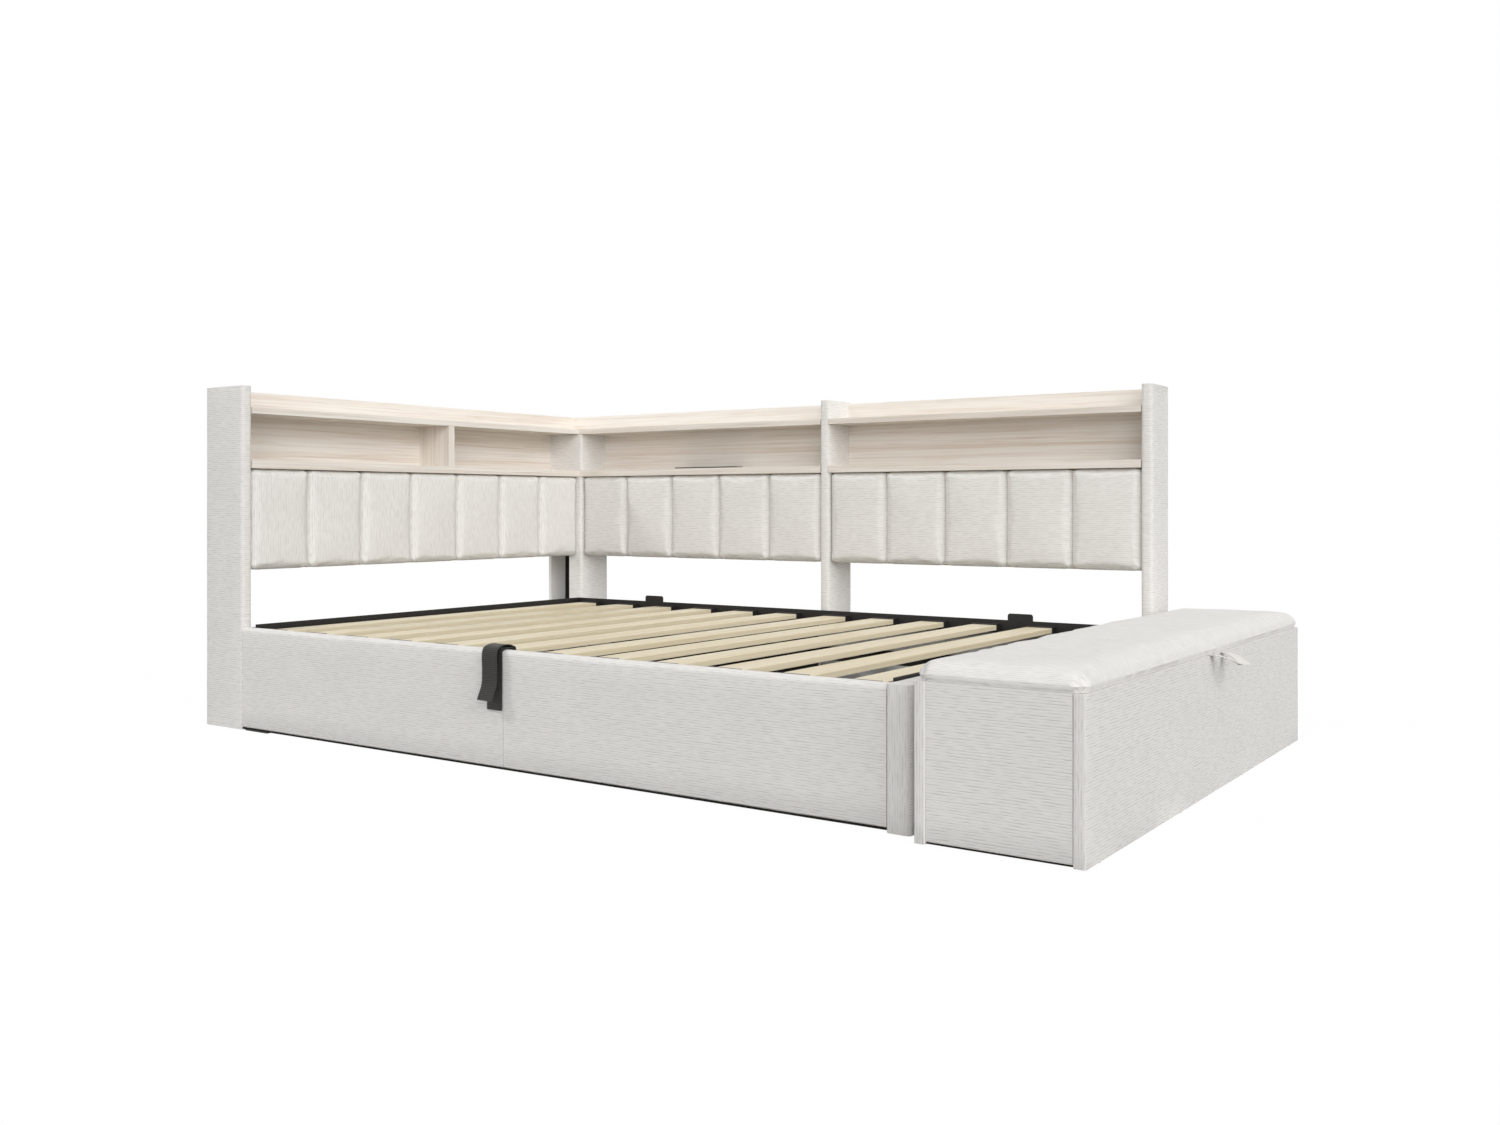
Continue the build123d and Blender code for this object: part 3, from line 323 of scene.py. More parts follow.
def studio_paper(name, colour):
    """Matt white background paper, seen as plain white, which keeps a soft shadow."""
    material, tree = new_material(name)
    matt = add_node(tree, "BsdfDiffuse", {"Color": tuple(colour)})
    white = add_node(tree, "Emission", {"Color": (1, 1, 1, 1), "Strength": 1.11})
    share = add_node(tree, "Math", {0: seen_share(tree), 1: 0.88}, operation="MULTIPLY")
    shader = add_node(tree, "MixShader", {0: share, 1: matt, 2: white})
    add_node(tree, "OutputMaterial", {"Surface": shader})
    return material


FINISHES = {}


def finish(name):
    """The material of that name, made on first use."""
    if name in FINISHES:
        return FINISHES[name]
    scene = bpy.context.scene
    wood, metal, cover = scene.bed_wood, scene.bed_metal, scene.bed_cover
    whitewash, streak = tuple(wood.whitewash), tuple(wood.streak)
    birch, birch_streak = tuple(wood.birch), tuple(wood.birch_streak)
    makers = {
        # Linen-look polyester, slubbed and ribbed
        "linen_cover": lambda: cover_fabric(name),
        # Chipboard with a whitewashed oak foil, satin
        "whitewashed_oak_long": lambda: grained_wood(name, whitewash, streak, X),
        "whitewashed_oak_deep": lambda: grained_wood(name, whitewash, streak, Y),
        "whitewashed_oak_upright": lambda: grained_wood(name, whitewash, streak, Z),
        # Thin fibreboard with the same foil, drawn lighter than the shelves as painted light against the shade in the
        # niches
        "painted_light_panel_long": lambda: grained_wood(name, linear("#f2ede6"), linear("#d3c4b4"), X),
        "painted_light_panel_deep": lambda: grained_wood(name, linear("#f2ede6"), linear("#d3c4b4"), Y),
        # Chipboard with a pale grey melamine face, drawn near white as painted light against the shade at the back
        # corner
        "grey_melamine": lambda: grained_wood(name, linear("#f2f1ef"), linear("#e4e2df"), Z, 0.4, 0.4),
        # Fibreboard drawn near black, as painted shade for the dark space under the slats
        "painted_shade_board": lambda: lining_felt(name, linear("#26241f")),
        # Rotary-cut poplar plywood, unsanded
        "poplar_plywood": lambda: grained_wood(name, linear("#d8c49c"), linear("#b99c6c"), X, 0.6, 0.9),
        # Bent birch laminate with a thin varnish, in plies of 1.6 mm
        "birch_laminate": lambda: grained_wood(name, birch, birch_streak, Y, 0.38, 0.8, 1.6 * MM),
        # Powder-coated mild steel
        "black_powder_coat": lambda: coated_steel(name, tuple(metal.powder), metal.orange_peel, 0.5),
        # Zinc-plated pressed steel
        "zinc_plate": lambda: coated_steel(name, linear("#c9c9c6"), 4 * MM, 0.35, 1.0, 0.1 * MM),
        # Hard-chromed ground rod
        "chromed_rod": lambda: coated_steel(name, linear("#dcdcdc"), 20 * MM, 0.12, 1.0, 0.02 * MM),
        # Moulded nylon, black
        "black_nylon": lambda: cast_plastic(name, tuple(metal.plastic)),
        # Spunbonded polypropylene, also drawn as the strips of painted shade under the rails and the bench's ends
        "spunbonded_lining": lambda: lining_felt(name, tuple(cover.lining)),
        # Woven polypropylene webbing, drawn with cross ribs of the width seen in the photograph, darker between the
        # ribs as painted shade
        "lift_webbing": lambda: webbing(name, tuple(metal.webbing), linear("#141311"), 4.6 * MM, 0.7 * MM),
        # Grosgrain polyester ribbon, pale, darker between its ribs as painted shade
        "grosgrain_ribbon": lambda: webbing(name, linear("#ebeae6"), linear("#cfccc6"), 2.2 * MM, 0.3 * MM),
    }
    FINISHES[name] = makers[name]()
    return FINISHES[name]


def dress(piece, name):
    piece.data.materials.clear()
    piece.data.materials.append(finish(name))


# Modelling by hand


def begin():
    """Leaves edit mode and selects nothing."""
    if bpy.context.object and bpy.context.object.mode != "OBJECT":
        bpy.ops.object.mode_set(mode="OBJECT")
    bpy.ops.object.select_all(action="DESELECT")


def only(piece):
    """Selects one piece and nothing else."""
    begin()
    bpy.context.view_layer.objects.active = piece
    piece.select_set(True)


def settle(piece):
    """Puts a piece's place into its mesh."""
    only(piece)
    bpy.ops.object.transform_apply(location=True, rotation=True, scale=True)
    return piece


def block(name, low, high):
    """A box between two corners, to be shaped."""
    begin()
    low, high = Vector(low), Vector(high)
    bpy.ops.mesh.primitive_cube_add(size=1, location=(low + high) / 2, scale=high - low)
    piece = bpy.context.object
    piece.name = piece.data.name = name
    return settle(piece)


def pick_edges(piece, test):
    """In edit mode, selects the edges whose two ends pass a test."""
    only(piece)
    bpy.ops.object.mode_set(mode="EDIT")
    bpy.ops.mesh.select_mode(type="EDGE")
    bpy.ops.mesh.select_all(action="DESELECT")
    mesh = bmesh.from_edit_mesh(piece.data)
    for edge in mesh.edges:
        edge.select_set(test(edge.verts[0].co, edge.verts[1].co))
    bmesh.update_edit_mesh(piece.data)


def lies_along(first, second, axis):
    """Whether two points differ along one axis alone."""
    return all(abs(first[other] - second[other]) < NEAR for other in (X, Y, Z) if other != axis)


def extent(piece):
    """The corners of the box round a piece."""
    places = [vertex.co for vertex in piece.data.vertices]
    return tuple(Vector(pick(place[axis] for place in places) for axis in (X, Y, Z)) for pick in (min, max))


def cut_across(piece, axis, spacing):
    """Cuts a box into even lengths along an axis."""
    low, high = extent(piece)
    cuts = max(0, round((high[axis] - low[axis]) / spacing) - 1)
    if cuts:
        pick_edges(piece, lambda a, b: lies_along(a, b, axis) and abs(a[axis] - b[axis]) > NEAR)
        bpy.ops.mesh.subdivide(number_cuts=cuts)
    begin()


def round_edges(piece, axis, where, radius, segments=4):
    """Rounds the edges along an axis that lie at the given places, as {axis: place, ...}."""

    def lies_there(first, second):
        if not lies_along(first, second, axis):
            return False
        return all(abs(first[other] - place) < NEAR for other, place in where.items())

    pick_edges(piece, lies_there)
    bpy.ops.mesh.bevel(offset=radius, segments=segments, profile=0.5, affect="EDGES", clamp_overlap=True)
    begin()


def dip(piece, depth, size, seed):
    """Lets the padding under a cover sink a little here and there, never outwards."""
    mesh = piece.data
    normals = [vertex.normal.copy() for vertex in mesh.vertices]
    offset = Vector((seed * 3.7, seed * 1.3, seed * 7.1))
    for vertex, normal in zip(mesh.vertices, normals):
        amount = 0.5 + 0.5 * noise.noise(vertex.co / size + offset)
        vertex.co -= normal * depth * max(0.0, min(1.0, amount))
    mesh.update()


def weave_layer(mesh):
    return mesh.uv_layers.get(WEAVE_MAP) or mesh.uv_layers.new(name=WEAVE_MAP)


def lay_weave(piece, upright_on=()):
    """Writes the weave map in metres: along the ribs, across the ribs, face by face."""
    mesh = piece.data
    layer = weave_layer(mesh)
    # Ribs don't meet from a board's face to its edge
    edge_shift = 0.37
    low, high = extent(piece)
    long_axis = X if high.x - low.x > high.y - low.y else Y
    for face in mesh.polygons:
        normal = [abs(part) for part in face.normal]
        facing = normal.index(max(normal))
        for corner in face.loop_indices:
            place = mesh.vertices[mesh.loops[corner].vertex_index].co
            if facing == Z:
                along, across = place[long_axis], place[1 - long_axis] + place.z
            else:
                along, across = place[1 - facing], place.z
            if facing in upright_on:
                along, across = across, along
            layer.data[corner].uv = (along, across + edge_shift * (facing == X))
    mesh.update()


def lay_sheet(piece):
    """Writes the weave map of one sheet pulled over a cushion: ribs across it, mitred at its corners."""
    mesh = piece.data
    layer = weave_layer(mesh)
    low, high = extent(piece)
    centre = (low + high) / 2
    for loop in mesh.loops:
        place = mesh.vertices[loop.vertex_index].co.copy()
        to_edge = [min(place[axis] - low[axis], high[axis] - place[axis]) for axis in (X, Y)]
        nearer = X if to_edge[X] < to_edge[Y] else Y
        place[nearer] += math.copysign(high.z - place.z, place[nearer] - centre[nearer])
        layer.data[loop.index].uv = (place.x, place.y)
    mesh.update()


def soften_shading(piece, degrees=50):
    """Shades smooth across edges that turn by less than an angle."""
    only(piece)
    bpy.ops.object.shade_smooth_by_angle(angle=math.radians(degrees))
    begin()


def hand_over(piece, body, slot, material, *nodes):
    """Gives a finished piece its material and body, and hides the nodes it stands for; the slot is not used."""
    dress(piece, material)
    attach(piece, body)
    if nodes:
        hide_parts(*nodes)
    return piece


def covered_board(node, corners=(), top=0.0, ends=0.0, radius=None, strips=False, piece_name=None, low=None, high=None):
    """A board under padding and fabric in place of a node, or of a part of it, rounded and a little uneven.

    Rounded are the upright edges at the given corners, the top edges, and the bottom edges with ends.
    """
    cover = bpy.context.scene.bed_cover
    box_low, box_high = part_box(node)
    low, high = Vector(low or box_low), Vector(high or box_high)
    piece = block(piece_name or node + "_cover", low, high)
    patch, hollow = 55 * MM, 160 * MM
    for axis in (X, Y, Z):
        cut_across(piece, axis, patch)
    for x, y in corners:
        round_edges(piece, Z, {X: (low, high)[x].x, Y: (low, high)[y].y}, radius or cover.edge_radius)
    for axis, side in ((X, Y), (Y, X)):
        for rounding, height, segments in ((top, high.z, 4), (ends, low.z, 2)):
            if rounding:
                for end in (low, high):
                    round_edges(piece, axis, {side: end[side], Z: height}, rounding, segments)
    dip(piece, cover.unevenness, hollow, len(node))
    lay_weave(piece, upright_on=(Y,) if strips else ())
    soften_shading(piece)
    return piece


def swell(piece, held, pressure=5.0, cap=2.5 * MM, slack=0.012, frames=10):
    """Fills a sewn cover: cloth under pressure, held where held(place) says, and moved no further than cap."""
    rest = [vertex.co.copy() for vertex in piece.data.vertices]
    group = piece.vertex_groups.new(name="held")
    group.add([vertex.index for vertex in piece.data.vertices if held(vertex.co)], 1.0, "REPLACE")
    only(piece)
    bpy.ops.object.modifier_add(type="CLOTH")
    cloth = piece.modifiers[-1]
    cloth.collision_settings.use_collision = False
    cloth.settings.vertex_group_mass = "held"
    cloth.settings.use_pressure = True
    cloth.settings.uniform_pressure_force = pressure
    cloth.settings.shrink_min = -slack
    cloth.settings.bending_stiffness = 1.5
    cloth.settings.effector_weights.gravity = 0
    for moment in range(1, frames + 1):
        bpy.context.scene.frame_set(moment)
    bpy.ops.object.modifier_apply(modifier=cloth.name)
    bpy.context.scene.frame_set(1)
    for vertex, start in zip(piece.data.vertices, rest):
        move = vertex.co - start
        if move.length > cap:
            vertex.co = start + move * (cap / move.length)
    piece.vertex_groups.clear()
    piece.data.update()
    begin()


ALL_CORNERS = ((0, 0), (1, 0), (0, 1), (1, 1))
BENCH_BOARD = 25 * MM

# Operators


class StageOperator(bpy.types.Operator):
    """Floor, light and camera"""

    bl_idname = "corner_bed.stage"
    bl_label = "Stage"

    def execute(self, context):
        scene = context.scene
        studio = scene.bed_studio
        begin()
        bpy.ops.mesh.primitive_grid_add(x_subdivisions=2, y_subdivisions=2, size=60, location=(0, 0, -0.0005))
        floor = context.object
        floor.name = "studio_floor"
        settle(floor)
        floor.data.materials.append(studio_paper("white_studio_paper", studio.paper))

        world = bpy.data.worlds.new("studio_light")
        scene.world = world
        world.use_nodes = True
        tree = world.node_tree
        tree.nodes.clear()
        even = add_node(tree, "Background", {"Color": (1, 1, 1, 1), "Strength": studio.sky})
        white = add_node(tree, "Background", {"Color": (1, 1, 1, 1), "Strength": 1.0})
        shader = add_node(tree, "MixShader", {0: seen_share(tree), 1: even, 2: white})
        add_node(tree, "OutputWorld", {"Surface": shader})

        # Name, strength, direction of travel, and softness in degrees
        for name, strength, towards, softness in (
            ("key_light", studio.key, (0.55, 0.45, -0.62), 6),
            ("side_light", studio.side, (-0.80, 0.30, -0.40), 45),
            ("front_light", studio.front, (-0.50, 0.83, -0.12), 35),
        ):
            bpy.ops.object.light_add(type="SUN", location=Vector(towards) * -4)
            lamp = context.object
            lamp.name = lamp.data.name = name
            lamp.rotation_euler = Vector(towards).to_track_quat("-Z", "Y").to_euler()
            lamp.data.energy = strength
            lamp.data.angle = math.radians(softness)

        # The camera is level, as fitted to the photograph; lengths in pixels of its frame
        place, turn = (2.1819, -3.0735, 0.645), 0.6074
        focal_pixels, width, horizon_above_centre, sensor = 1335.4, 1500, 57.35, 36.0
        bpy.ops.object.camera_add(location=place, rotation=(math.pi / 2, 0, turn))
        camera = context.object
        camera.name = "camera"
        camera.data.sensor_width = sensor
        camera.data.lens = sensor * focal_pixels / width
        camera.data.shift_y = -horizon_above_centre / width
        scene.camera = camera
        scene.view_settings.view_transform = "Standard"
        return {"FINISHED"}


class BoardsOperator(bpy.types.Operator):
    """Finishes of the boards, steel and small parts that keep their CAD shape"""

    bl_idname = "corner_bed.boards"
    bl_label = "Boards and fittings"

    FINISH_OF = {
        "whitewashed_oak_long": (
            "mid_shelf", "mid_top_shelf", "right_shelf", "right_top_shelf",
        ),
        "painted_light_panel_long": ("mid_back_board", "right_back_board"),
        "whitewashed_oak_deep": ("head_shelf", "head_top_shelf"),
        "painted_light_panel_deep": ("head_back_board",),
        "whitewashed_oak_upright": ("head_divider",),
        "grey_melamine": ("head_corner_leg",),
        "poplar_plywood": ("rail_cleats", "bench_floor", "pad_boards"),
        "painted_shade_board": ("storage_divider", "storage_floor"),
        "birch_laminate": ("slats",),
        "black_powder_coat": (
            "frame_front_bar", "frame_rear_bar", "frame_end_bars", "frame_beams", "mattress_stops",
            "lift_hinge_bases", "lift_hinge_leaves", "strut_lower_brackets",
            "head_strut_cylinder", "foot_strut_cylinder",
        ),
        "zinc_plate": ("rail_brackets", "lid_hinge_bases", "lid_hinge_leaves"),
        "chromed_rod": ("head_strut_rod", "foot_strut_rod"),
        "black_nylon": ("slat_caps", "bed_feet", "bench_glides", "power_unit"),
        "spunbonded_lining": ("dust_linings",),
    }

    def execute(self, context):
        for material, nodes in self.FINISH_OF.items():
            for node in nodes:
                dress(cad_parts[node], material)
        return {"FINISHED"}


class UprightsOperator(bpy.types.Operator):
    """The upholstered uprights of both bookcases"""

    bl_idname = "corner_bed.uprights"
    bl_label = "Uprights"

    def execute(self, context):
        cover = context.scene.bed_cover
        front, right = ((0, 0), (1, 0)), ((1, 0),)
        # Node, rounded upright corners, rounding of the top
        for node, corners, top in (
            ("head_front_panel", (*front, (1, 1)), cover.top_radius),
            ("mid_panel", front, cover.top_radius),
            ("end_panel", front, cover.top_radius),
            ("corner_post", right, 0.0),
            ("head_rear_panel", (), 0.0),
            ("corner_block", right, 0.0),
        ):
            piece = covered_board(node, corners, top)
            hand_over(piece, "root", "upholstery", "linen_cover", node)
        return {"FINISHED"}


class RailsOperator(bpy.types.Operator):
    """The upholstered rails round the storage box"""

    bl_idname = "corner_bed.rails"
    bl_label = "Rails"

    def execute(self, context):
        cover = context.scene.bed_cover
        for node in ("front_rail_head_half", "front_rail_foot_half"):
            piece = covered_board(node, top=cover.rail_radius, ends=4 * MM)
            hand_over(piece, "root", "upholstery", "linen_cover", node)
        piece = covered_board("foot_rail", ALL_CORNERS, cover.rail_radius, 6 * MM, strips=True)
        hand_over(piece, "root", "upholstery", "linen_cover", "foot_rail")
        piece = covered_board("head_rail", top=4 * MM)
        hand_over(piece, "root", "upholstery", "linen_cover", "head_rail")
        # The middle panel parts the rear rail
        low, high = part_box("rear_rails")
        gap_low, gap_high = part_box("mid_panel")
        halves = (("rear_rail_left", low.x, gap_low.x), ("rear_rail_right", gap_high.x, high.x))
        for name, start, end in halves:
            first, second = (start, low.y, low.z), (end, high.y, high.z)
            piece = covered_board("rear_rails", top=4 * MM, piece_name=name, low=first, high=second)
            hand_over(piece, "root", "upholstery", "linen_cover", "rear_rails")
        return {"FINISHED"}


def rounded_rectangle_inside(s, t, length, height, radius):
    """How far a point lies inside a rectangle with rounded corners."""
    radius = min(radius, length / 2, height / 2)
    x = abs(s - length / 2) - (length / 2 - radius)
    y = abs(t - height / 2) - (height / 2 - radius)
    outside = math.hypot(max(x, 0), max(y, 0))
    return radius - outside - min(max(x, y), 0)


def round_plan(s, t, length, height, radius):
    """Moves a point of a rectangle in a corner's square onto that corner's quarter disc."""
    x, y = s - length / 2, t - height / 2
    over_x, over_y = abs(x) - (length / 2 - radius), abs(y) - (height / 2 - radius)
    if min(over_x, over_y) <= 0:
        return s, t
    shrink = max(over_x, over_y) / math.hypot(over_x, over_y)
    x = math.copysign(length / 2 - radius + over_x * shrink, x)
    y = math.copysign(height / 2 - radius + over_y * shrink, y)
    return x + length / 2, y + height / 2


# Distances from a bar's edge, in metres, at which its cover is divided: close together where it rounds over
FINE_STEPS = (0.0, 0.0008, 0.002, 0.0038, 0.006, 0.009, 0.0125, 0.0165, 0.022, 0.030, 0.041)


def stations(length):
    """Places along a length, close together near both ends."""
    coarse_step = 16 * MM
    near = [step for step in FINE_STEPS if step < length / 2]
    middle = length - 2 * near[-1]
    steps = max(1, round(middle / coarse_step))
    inner = [near[-1] + middle * step / steps for step in range(1, steps)]
    return near + inner + [length - step for step in reversed(near)]


def channel_pad(name, channels, to_place, length, height, depth, sink, shoulder, corner, plan=0.0):
    """A cushion sewn into bars, on straight sides.

    to_place puts length, height and depth in the room. Each bar sinks at its edges, over a shoulder, with
    corners of its own seen from the front; plan is the radius of the whole cushion's corners.
    """
    padding = bpy.context.scene.bed_padding
    width = length / channels
    dents, seam_reach = 1.2 * MM, 12 * MM
    across = []
    for bar in range(channels):
        across += [(bar, step) for step in stations(width)[:-1]]
    across.append((channels - 1, width))
    up = stations(height)
    begin()
    bpy.ops.mesh.primitive_grid_add(x_subdivisions=len(across) - 1, y_subdivisions=len(up) - 1, size=1)
    piece = bpy.context.object
    piece.name = piece.data.name = name
    for number, vertex in enumerate(piece.data.vertices):
        bar, s = across[number % len(across)]
        t = up[number // len(across)]
        inside = rounded_rectangle_inside(s, t, width, height, corner)
        reach = max(0.0, min(1.0, inside / shoulder))
        rise = math.sqrt(1 - (1 - reach) ** 2)
        bulge = padding.crown * (1 - (2 * s / width - 1) ** 2) * (1 - (2 * t / height - 1) ** 4)
        # Dents about a tenth of a metre wide, others on each bar and pad
        uneven = dents * noise.noise(Vector((bar * 9.1 + s * 12, t * 9, len(name) * 1.7)))
        h = depth - sink + sink * rise + rise * (bulge - padding.crown + uneven)
        draw = padding.notch * math.exp(-((min(s, width - s) / seam_reach) ** 2))
        t = height / 2 + (t - height / 2) * (1 - 2 * draw / height)
        s, t = round_plan(bar * width + s, t, length, height, plan)
        vertex.co = to_place(s, t, h)
    piece.data.update()
    only(piece)
    bpy.ops.object.mode_set(mode="EDIT")
    bpy.ops.mesh.select_mode(type="EDGE")
    bpy.ops.mesh.select_all(action="DESELECT")
    bpy.ops.mesh.select_non_manifold()
    bpy.ops.mesh.extrude_edges_move()
    mesh = bmesh.from_edit_mesh(piece.data)
    back = to_place(0, 0, 0) - to_place(0, 0, 1)
    for vertex in mesh.verts:
        if vertex.select:
            vertex.co += back * (depth - sink)
    bmesh.update_edit_mesh(piece.data)
    bpy.ops.mesh.edge_face_add()
    bpy.ops.mesh.select_all(action="SELECT")
    bpy.ops.mesh.normals_make_consistent(inside=False)
    begin()
    outward = to_place(0, 0, 1) - to_place(0, 0, 0)
    behind = to_place(0, 0, depth - sink + MM).dot(outward)
    swell(piece, lambda place: place.dot(outward) < behind)
    return piece


def back_pad(node, channels, to_place, length, height, depth, upright):
    """One of the pads behind the mattress, which stands for its node."""
    padding = bpy.context.scene.bed_padding
    piece = channel_pad(
        node + "_cover", channels, to_place, length, height, depth, padding.seam_depth, padding.shoulder, padding.corner
    )
    lay_weave(piece, (X, Y, Z) if upright else ())
    soften_shading(piece, 60)
    hand_over(piece, "root", "pad_cover", "linen_cover", node)


class PadsOperator(bpy.types.Operator):
    """The three channelled back pads"""

    bl_idname = "corner_bed.pads"
    bl_label = "Channelled pads"

    def execute(self, context):
        low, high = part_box("head_pad")
        size = high - low
        back_pad("head_pad", 7, lambda s, t, h: low + Vector((h, s, t)), size.y, size.z, size.x, True)
        for node in ("mid_pad", "right_pad"):
            left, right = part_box(node)
            size = right - left
            start = Vector((left.x, right.y, left.z))
            back_pad(node, 5, lambda s, t, h: start + Vector((s, -h, t)), size.x, size.z, size.y, False)
        return {"FINISHED"}


class BenchOperator(bpy.types.Operator):
    """The bench's covered box"""

    bl_idname = "corner_bed.bench"
    bl_label = "Bench box"

    def execute(self, context):
        for node in ("bench_inner_side", "bench_outer_side"):
            piece = covered_board(node, ALL_CORNERS, ends=3 * MM, radius=4 * MM, strips=True)
            hand_over(piece, "bench", "upholstery", "linen_cover", node)
        low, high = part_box("bench_ends")
        ends = (("bench_front_end", low.y, low.y + BENCH_BOARD), ("bench_rear_end", high.y - BENCH_BOARD, high.y))
        for name, start, end in ends:
            first, second = (low.x, start, low.z), (high.x, end, high.z)
            piece = covered_board("bench_ends", ends=2 * MM, piece_name=name, low=first, high=second)
            hand_over(piece, "bench", "upholstery", "linen_cover", "bench_ends")
        return {"FINISHED"}


class LidOperator(bpy.types.Operator):
    """The bench lid: board and padding under one cover"""

    bl_idname = "corner_bed.lid"
    bl_label = "Bench lid"

    def execute(self, context):
        padding = context.scene.bed_padding
        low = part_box("bench_lid_board")[0]
        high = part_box("bench_lid_pad")[1]
        size, centre = high - low, (low + high) / 2
        straight_side, tuck, puckers, dents = 12 * MM, 4.5 * MM, 2.2 * MM, 1.8 * MM
        piece = channel_pad(
            "bench_lid_cushion", 1, lambda s, t, h: low + Vector((t, size.y - s, h)), size.y, size.x, size.z,
            size.z - straight_side, padding.lid_shoulder, padding.lid_corner, padding.lid_corner,
        )
        for vertex in piece.data.vertices:
            place = vertex.co
            lift = (place.z - low.z) / size.z
            beside = min(1.0, abs(place.x - centre.x) / (size.x / 2))
            pucker = noise.noise(Vector((place.y * 9, place.x * 3, 2.5)))
            dent = noise.noise(place * 5 + Vector((3, 1, 0)))
            place.z -= lift * (puckers * abs(pucker) * beside + dents * abs(dent))
            # The cover is pulled under the board, which leaves a shadow line above the box
            if place.z < low.z + MM:
                for axis in (X, Y):
                    place[axis] -= math.copysign(tuck, place[axis] - centre[axis])
        piece.data.update()
        lay_sheet(piece)
        soften_shading(piece, 60)
        hand_over(piece, "lid", "pad_cover", "linen_cover", "bench_lid_board", "bench_lid_pad")
        return {"FINISHED"}


def smooth_line(points):
    """Cuts the corners of a line of points until it runs smoothly, and keeps its ends."""
    for _ in range(3):
        cut = [points[0]]
        for start, end in zip(points, points[1:]):
            cut += [start.lerp(end, 0.25), start.lerp(end, 0.75)]
        points = cut + [points[-1]]
    return points


def ribbon(name, line, side, thickness, curl=0.0):
    """A woven ribbon along a line: side is half its width as a vector, or a list of them."""
    columns = 7
    begin()
    bpy.ops.mesh.primitive_grid_add(x_subdivisions=columns - 1, y_subdivisions=len(line) - 1, size=1)
    piece = bpy.context.object
    piece.name = piece.data.name = name
    run = [0.0]
    for start, end in zip(line, line[1:]):
        run.append(run[-1] + (end - start).length)
    while piece.data.uv_layers:
        piece.data.uv_layers.remove(piece.data.uv_layers[0])
    layer = weave_layer(piece.data)
    halves = side if isinstance(side, list) else [side] * len(line)
    place_of = {}
    for number, vertex in enumerate(piece.data.vertices):
        column, row = number % columns, number // columns
        share = 2 * column / (columns - 1) - 1
        ahead = line[min(row + 1, len(line) - 1)] - line[max(row - 1, 0)]
        up = ahead.cross(halves[row]).normalized()
        vertex.co = line[row] + halves[row] * share + up * curl * (share ** 2 - 0.4)
        place_of[number] = (run[row], share * halves[row].length)
    for loop in piece.data.loops:
        layer.data[loop.index].uv = place_of[loop.vertex_index]
    piece.data.update()
    only(piece)
    solid = piece.modifiers.new("thickness", "SOLIDIFY")
    solid.thickness = thickness
    solid.offset = 0.0
    edge = piece.modifiers.new("edge", "BEVEL")
    edge.width = thickness * 0.3
    edge.segments = 2
    edge.limit_method = "ANGLE"
    edge.angle_limit = math.radians(50)
    bpy.ops.object.modifier_apply(modifier="thickness")
    bpy.ops.object.modifier_apply(modifier="edge")
    begin()
    soften_shading(piece, 45)
    return piece


class StrapOperator(bpy.types.Operator):
    """The lifting strap: two plies of webbing from the frame over the rail"""

    bl_idname = "corner_bed.strap"
    bl_label = "Lifting strap"

    def execute(self, context):
        low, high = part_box("lift_strap")
        rail_low, rail_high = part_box("front_rail_head_half")
        bar_low, bar_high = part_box("frame_front_bar")
        ply = 2 * MM
        x = (low.x + high.x) / 2
        half = Vector(((high.x - low.x) / 2, 0, 0))
        face, top, frame_top = rail_low.y, rail_high.z, bar_high.z
        inner = bar_low.y + 4 * MM

        def line(*points):
            return smooth_line([Vector((x, y, z)) for y, z in points])

        # Both plies run from the frame's bar over the rail's top and down its face; the front one hangs loose
        back = line(
            (inner, frame_top - 0.004), (inner, frame_top + 0.004), (inner - 0.0005, top - 0.001),
            (inner - 0.004, top + 0.0022), (rail_high.y - 0.004, top + 0.0022), (face + 0.012, top + 0.0018),
            (face - 0.002, top - 0.001), (face - 0.0018, top - 0.016), (face - 0.0018, top - 0.08),
            (face - 0.003, low.z),
        )
        front = line(
            (inner + 0.0025, frame_top - 0.004), (inner + 0.0025, frame_top + 0.006), (inner + 0.001, top + 0.0045),
            (inner - 0.008, top + 0.0065), (rail_high.y - 0.008, top + 0.011), (face + 0.006, top + 0.0115),
            (face - 0.016, top + 0.006), (face - 0.021, top - 0.012), (face - 0.019, top - 0.05),
            (face - 0.020, top - 0.085), (face - 0.030, top - 0.105), (low.y + 0.0015, top - 0.1205),
        )
        for name, path in (("lift_strap_back_ply", back), ("lift_strap_front_ply", front)):
            piece = ribbon(name, path, half, ply, 0.6 * MM)
            hand_over(piece, "platform", "lift_webbing", "lift_webbing", "lift_strap")
        return {"FINISHED"}


class LoopOperator(bpy.types.Operator):
    """The pull loop under the lid's outer edge"""

    bl_idname = "corner_bed.loop"
    bl_label = "Pull loop"

    def execute(self, context):
        low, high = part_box("lid_pull_loop")
        middle = (low.y + high.y) / 2 + 12 * MM
        half_width, tilt = 12.5 * MM, 1.5 * MM
        # A leg from the seam to the tip: distance out, distance from the middle, height
        leg = (
            (-0.004, 0.040, -0.0036), (0.016, 0.040, -0.0050), (0.034, 0.033, -0.012),
            (0.050, 0.022, -0.021), (0.061, 0.010, -0.027),
        )
        points = [Vector((low.x + out, middle - apart, high.z + rise)) for out, apart, rise in leg]
        points += [Vector((low.x + out, middle + apart, high.z + rise - tilt)) for out, apart, rise in reversed(leg)]
        line = smooth_line(points)
        sides = []
        for number in range(len(line)):
            ahead = line[min(number + 1, len(line) - 1)] - line[max(number - 1, 0)]
            sides.append(Vector((-ahead.y, ahead.x, 0)).normalized() * -half_width)
        piece = ribbon("lid_pull_ribbon", line, sides, 1.4 * MM, 0.8 * MM)
        hand_over(piece, "lid", "pull_webbing", "grosgrain_ribbon", "lid_pull_loop")
        return {"FINISHED"}


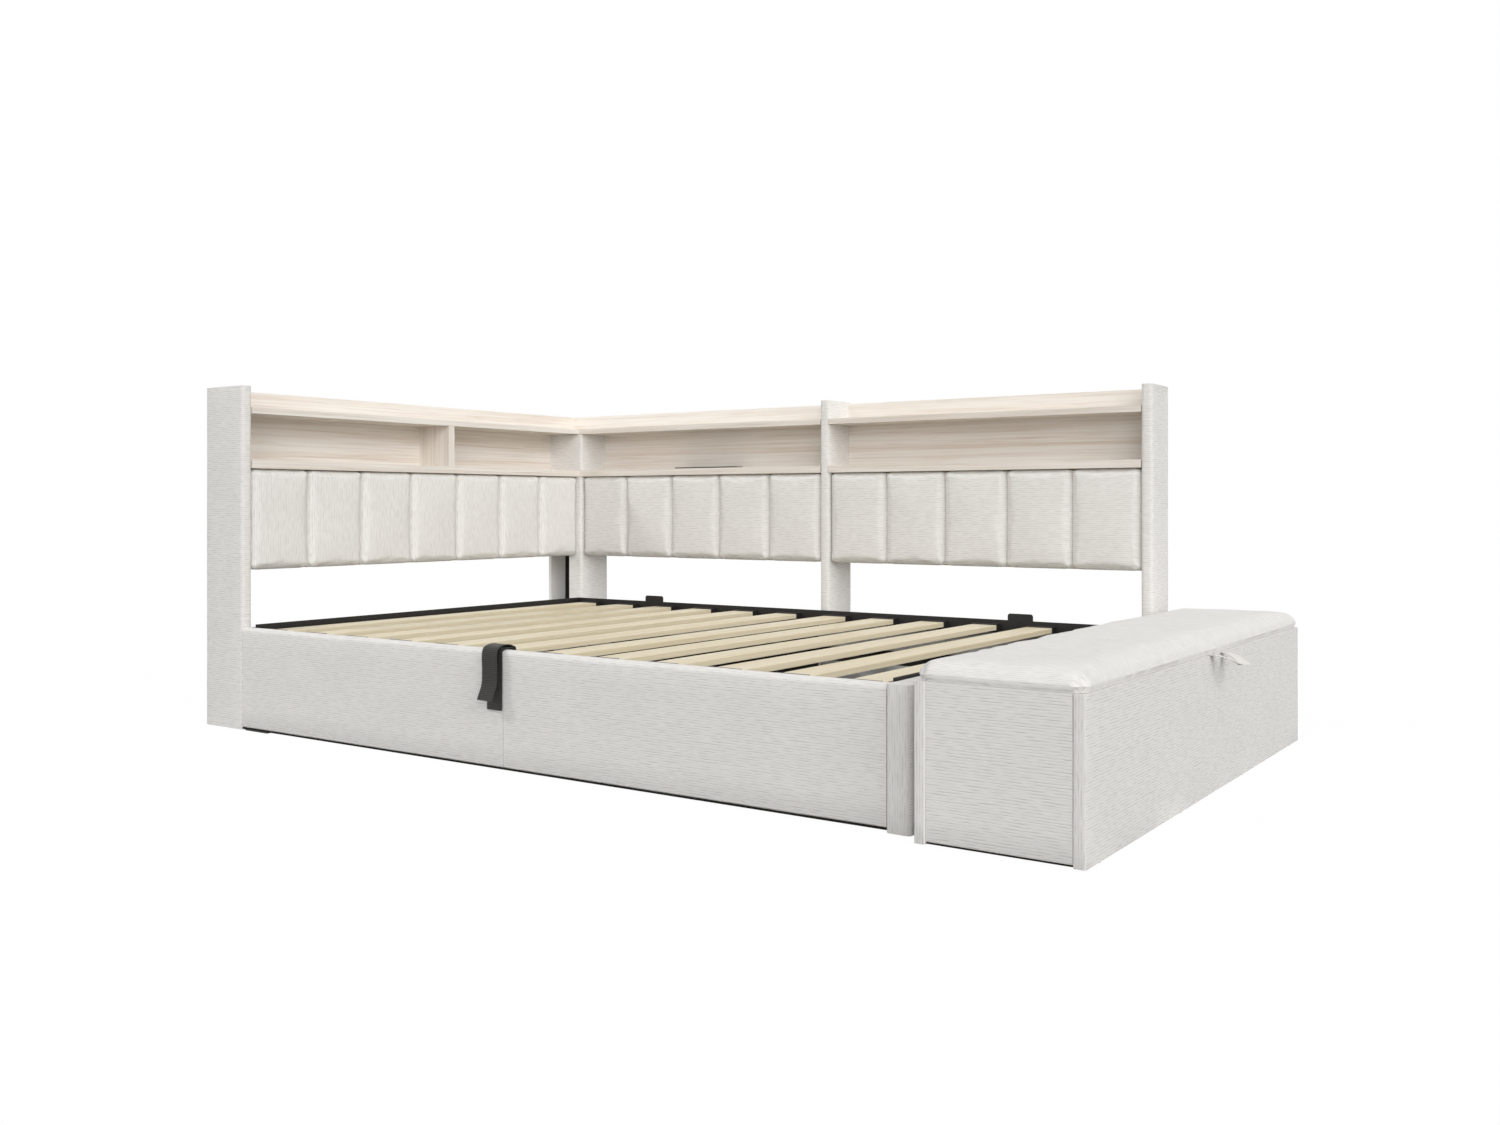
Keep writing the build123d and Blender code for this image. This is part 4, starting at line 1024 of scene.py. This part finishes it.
class GapShadeStripsOperator(bpy.types.Operator):
    """Black strips under the rails and the bench's ends, as painted shade in the gaps beneath them"""

    bl_idname = "corner_bed.felt_strips"
    bl_label = "Gap shade strips"

    def execute(self, context):
        strip, inset = 3 * MM, 1.5 * MM
        places = []
        for node in ("front_rail_head_half", "front_rail_foot_half"):
            low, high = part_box(node)
            level = low.z - 1.2 * MM
            corners = (low.x, low.y + inset, level - strip), (high.x, high.y - inset, level)
            places.append((node, "root", corners))
        low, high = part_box("bench_ends")
        level = low.z - 0.2 * MM
        for name, start in (("bench_front", low.y), ("bench_rear", high.y - BENCH_BOARD)):
            end = start + BENCH_BOARD - inset
            corners = (low.x + inset, start + inset, level - strip), (high.x - inset, end, level)
            places.append((name, "bench", corners))
        for name, body, (first, second) in places:
            piece = block(name + "_gap_shade_strip", first, second)
            cut_across(piece, X, 100 * MM)
            for height in (first[Z], second[Z]):
                for side in (first[Y], second[Y]):
                    round_edges(piece, X, {Y: side, Z: height}, strip / 4, 2)
            soften_shading(piece)
            hand_over(piece, body, "black_lining", "spunbonded_lining")
        return {"FINISHED"}


OPERATORS = (
    BoardsOperator, UprightsOperator, RailsOperator, PadsOperator, BenchOperator,
    LidOperator, StrapOperator, LoopOperator, GapShadeStripsOperator, StageOperator,
)


class CornerBedPanel(bpy.types.Panel):
    """Lists the pieces of the bed"""

    bl_idname = "VIEW3D_PT_corner_bed"
    bl_label = "Corner bed"
    bl_space_type = "VIEW_3D"
    bl_region_type = "UI"
    bl_category = "Corner bed"

    def draw(self, context):
        for operator in OPERATORS:
            self.layout.operator(operator.bl_idname)


def register():
    for group in SETTINGS.values():
        bpy.utils.register_class(group)
    for name, group in SETTINGS.items():
        setattr(bpy.types.Scene, name, bpy.props.PointerProperty(type=group))
    for operator in (*OPERATORS, CornerBedPanel):
        bpy.utils.register_class(operator)


def unregister():
    for operator in reversed((*OPERATORS, CornerBedPanel)):
        bpy.utils.unregister_class(operator)
    for name, group in SETTINGS.items():
        delattr(bpy.types.Scene, name)
        bpy.utils.unregister_class(group)


def main():
    register()
    for operator in OPERATORS:
        group, name = operator.bl_idname.split(".")
        getattr(getattr(bpy.ops, group), name)()
    begin()
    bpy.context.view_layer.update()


if __name__ == "__main__":
    main()
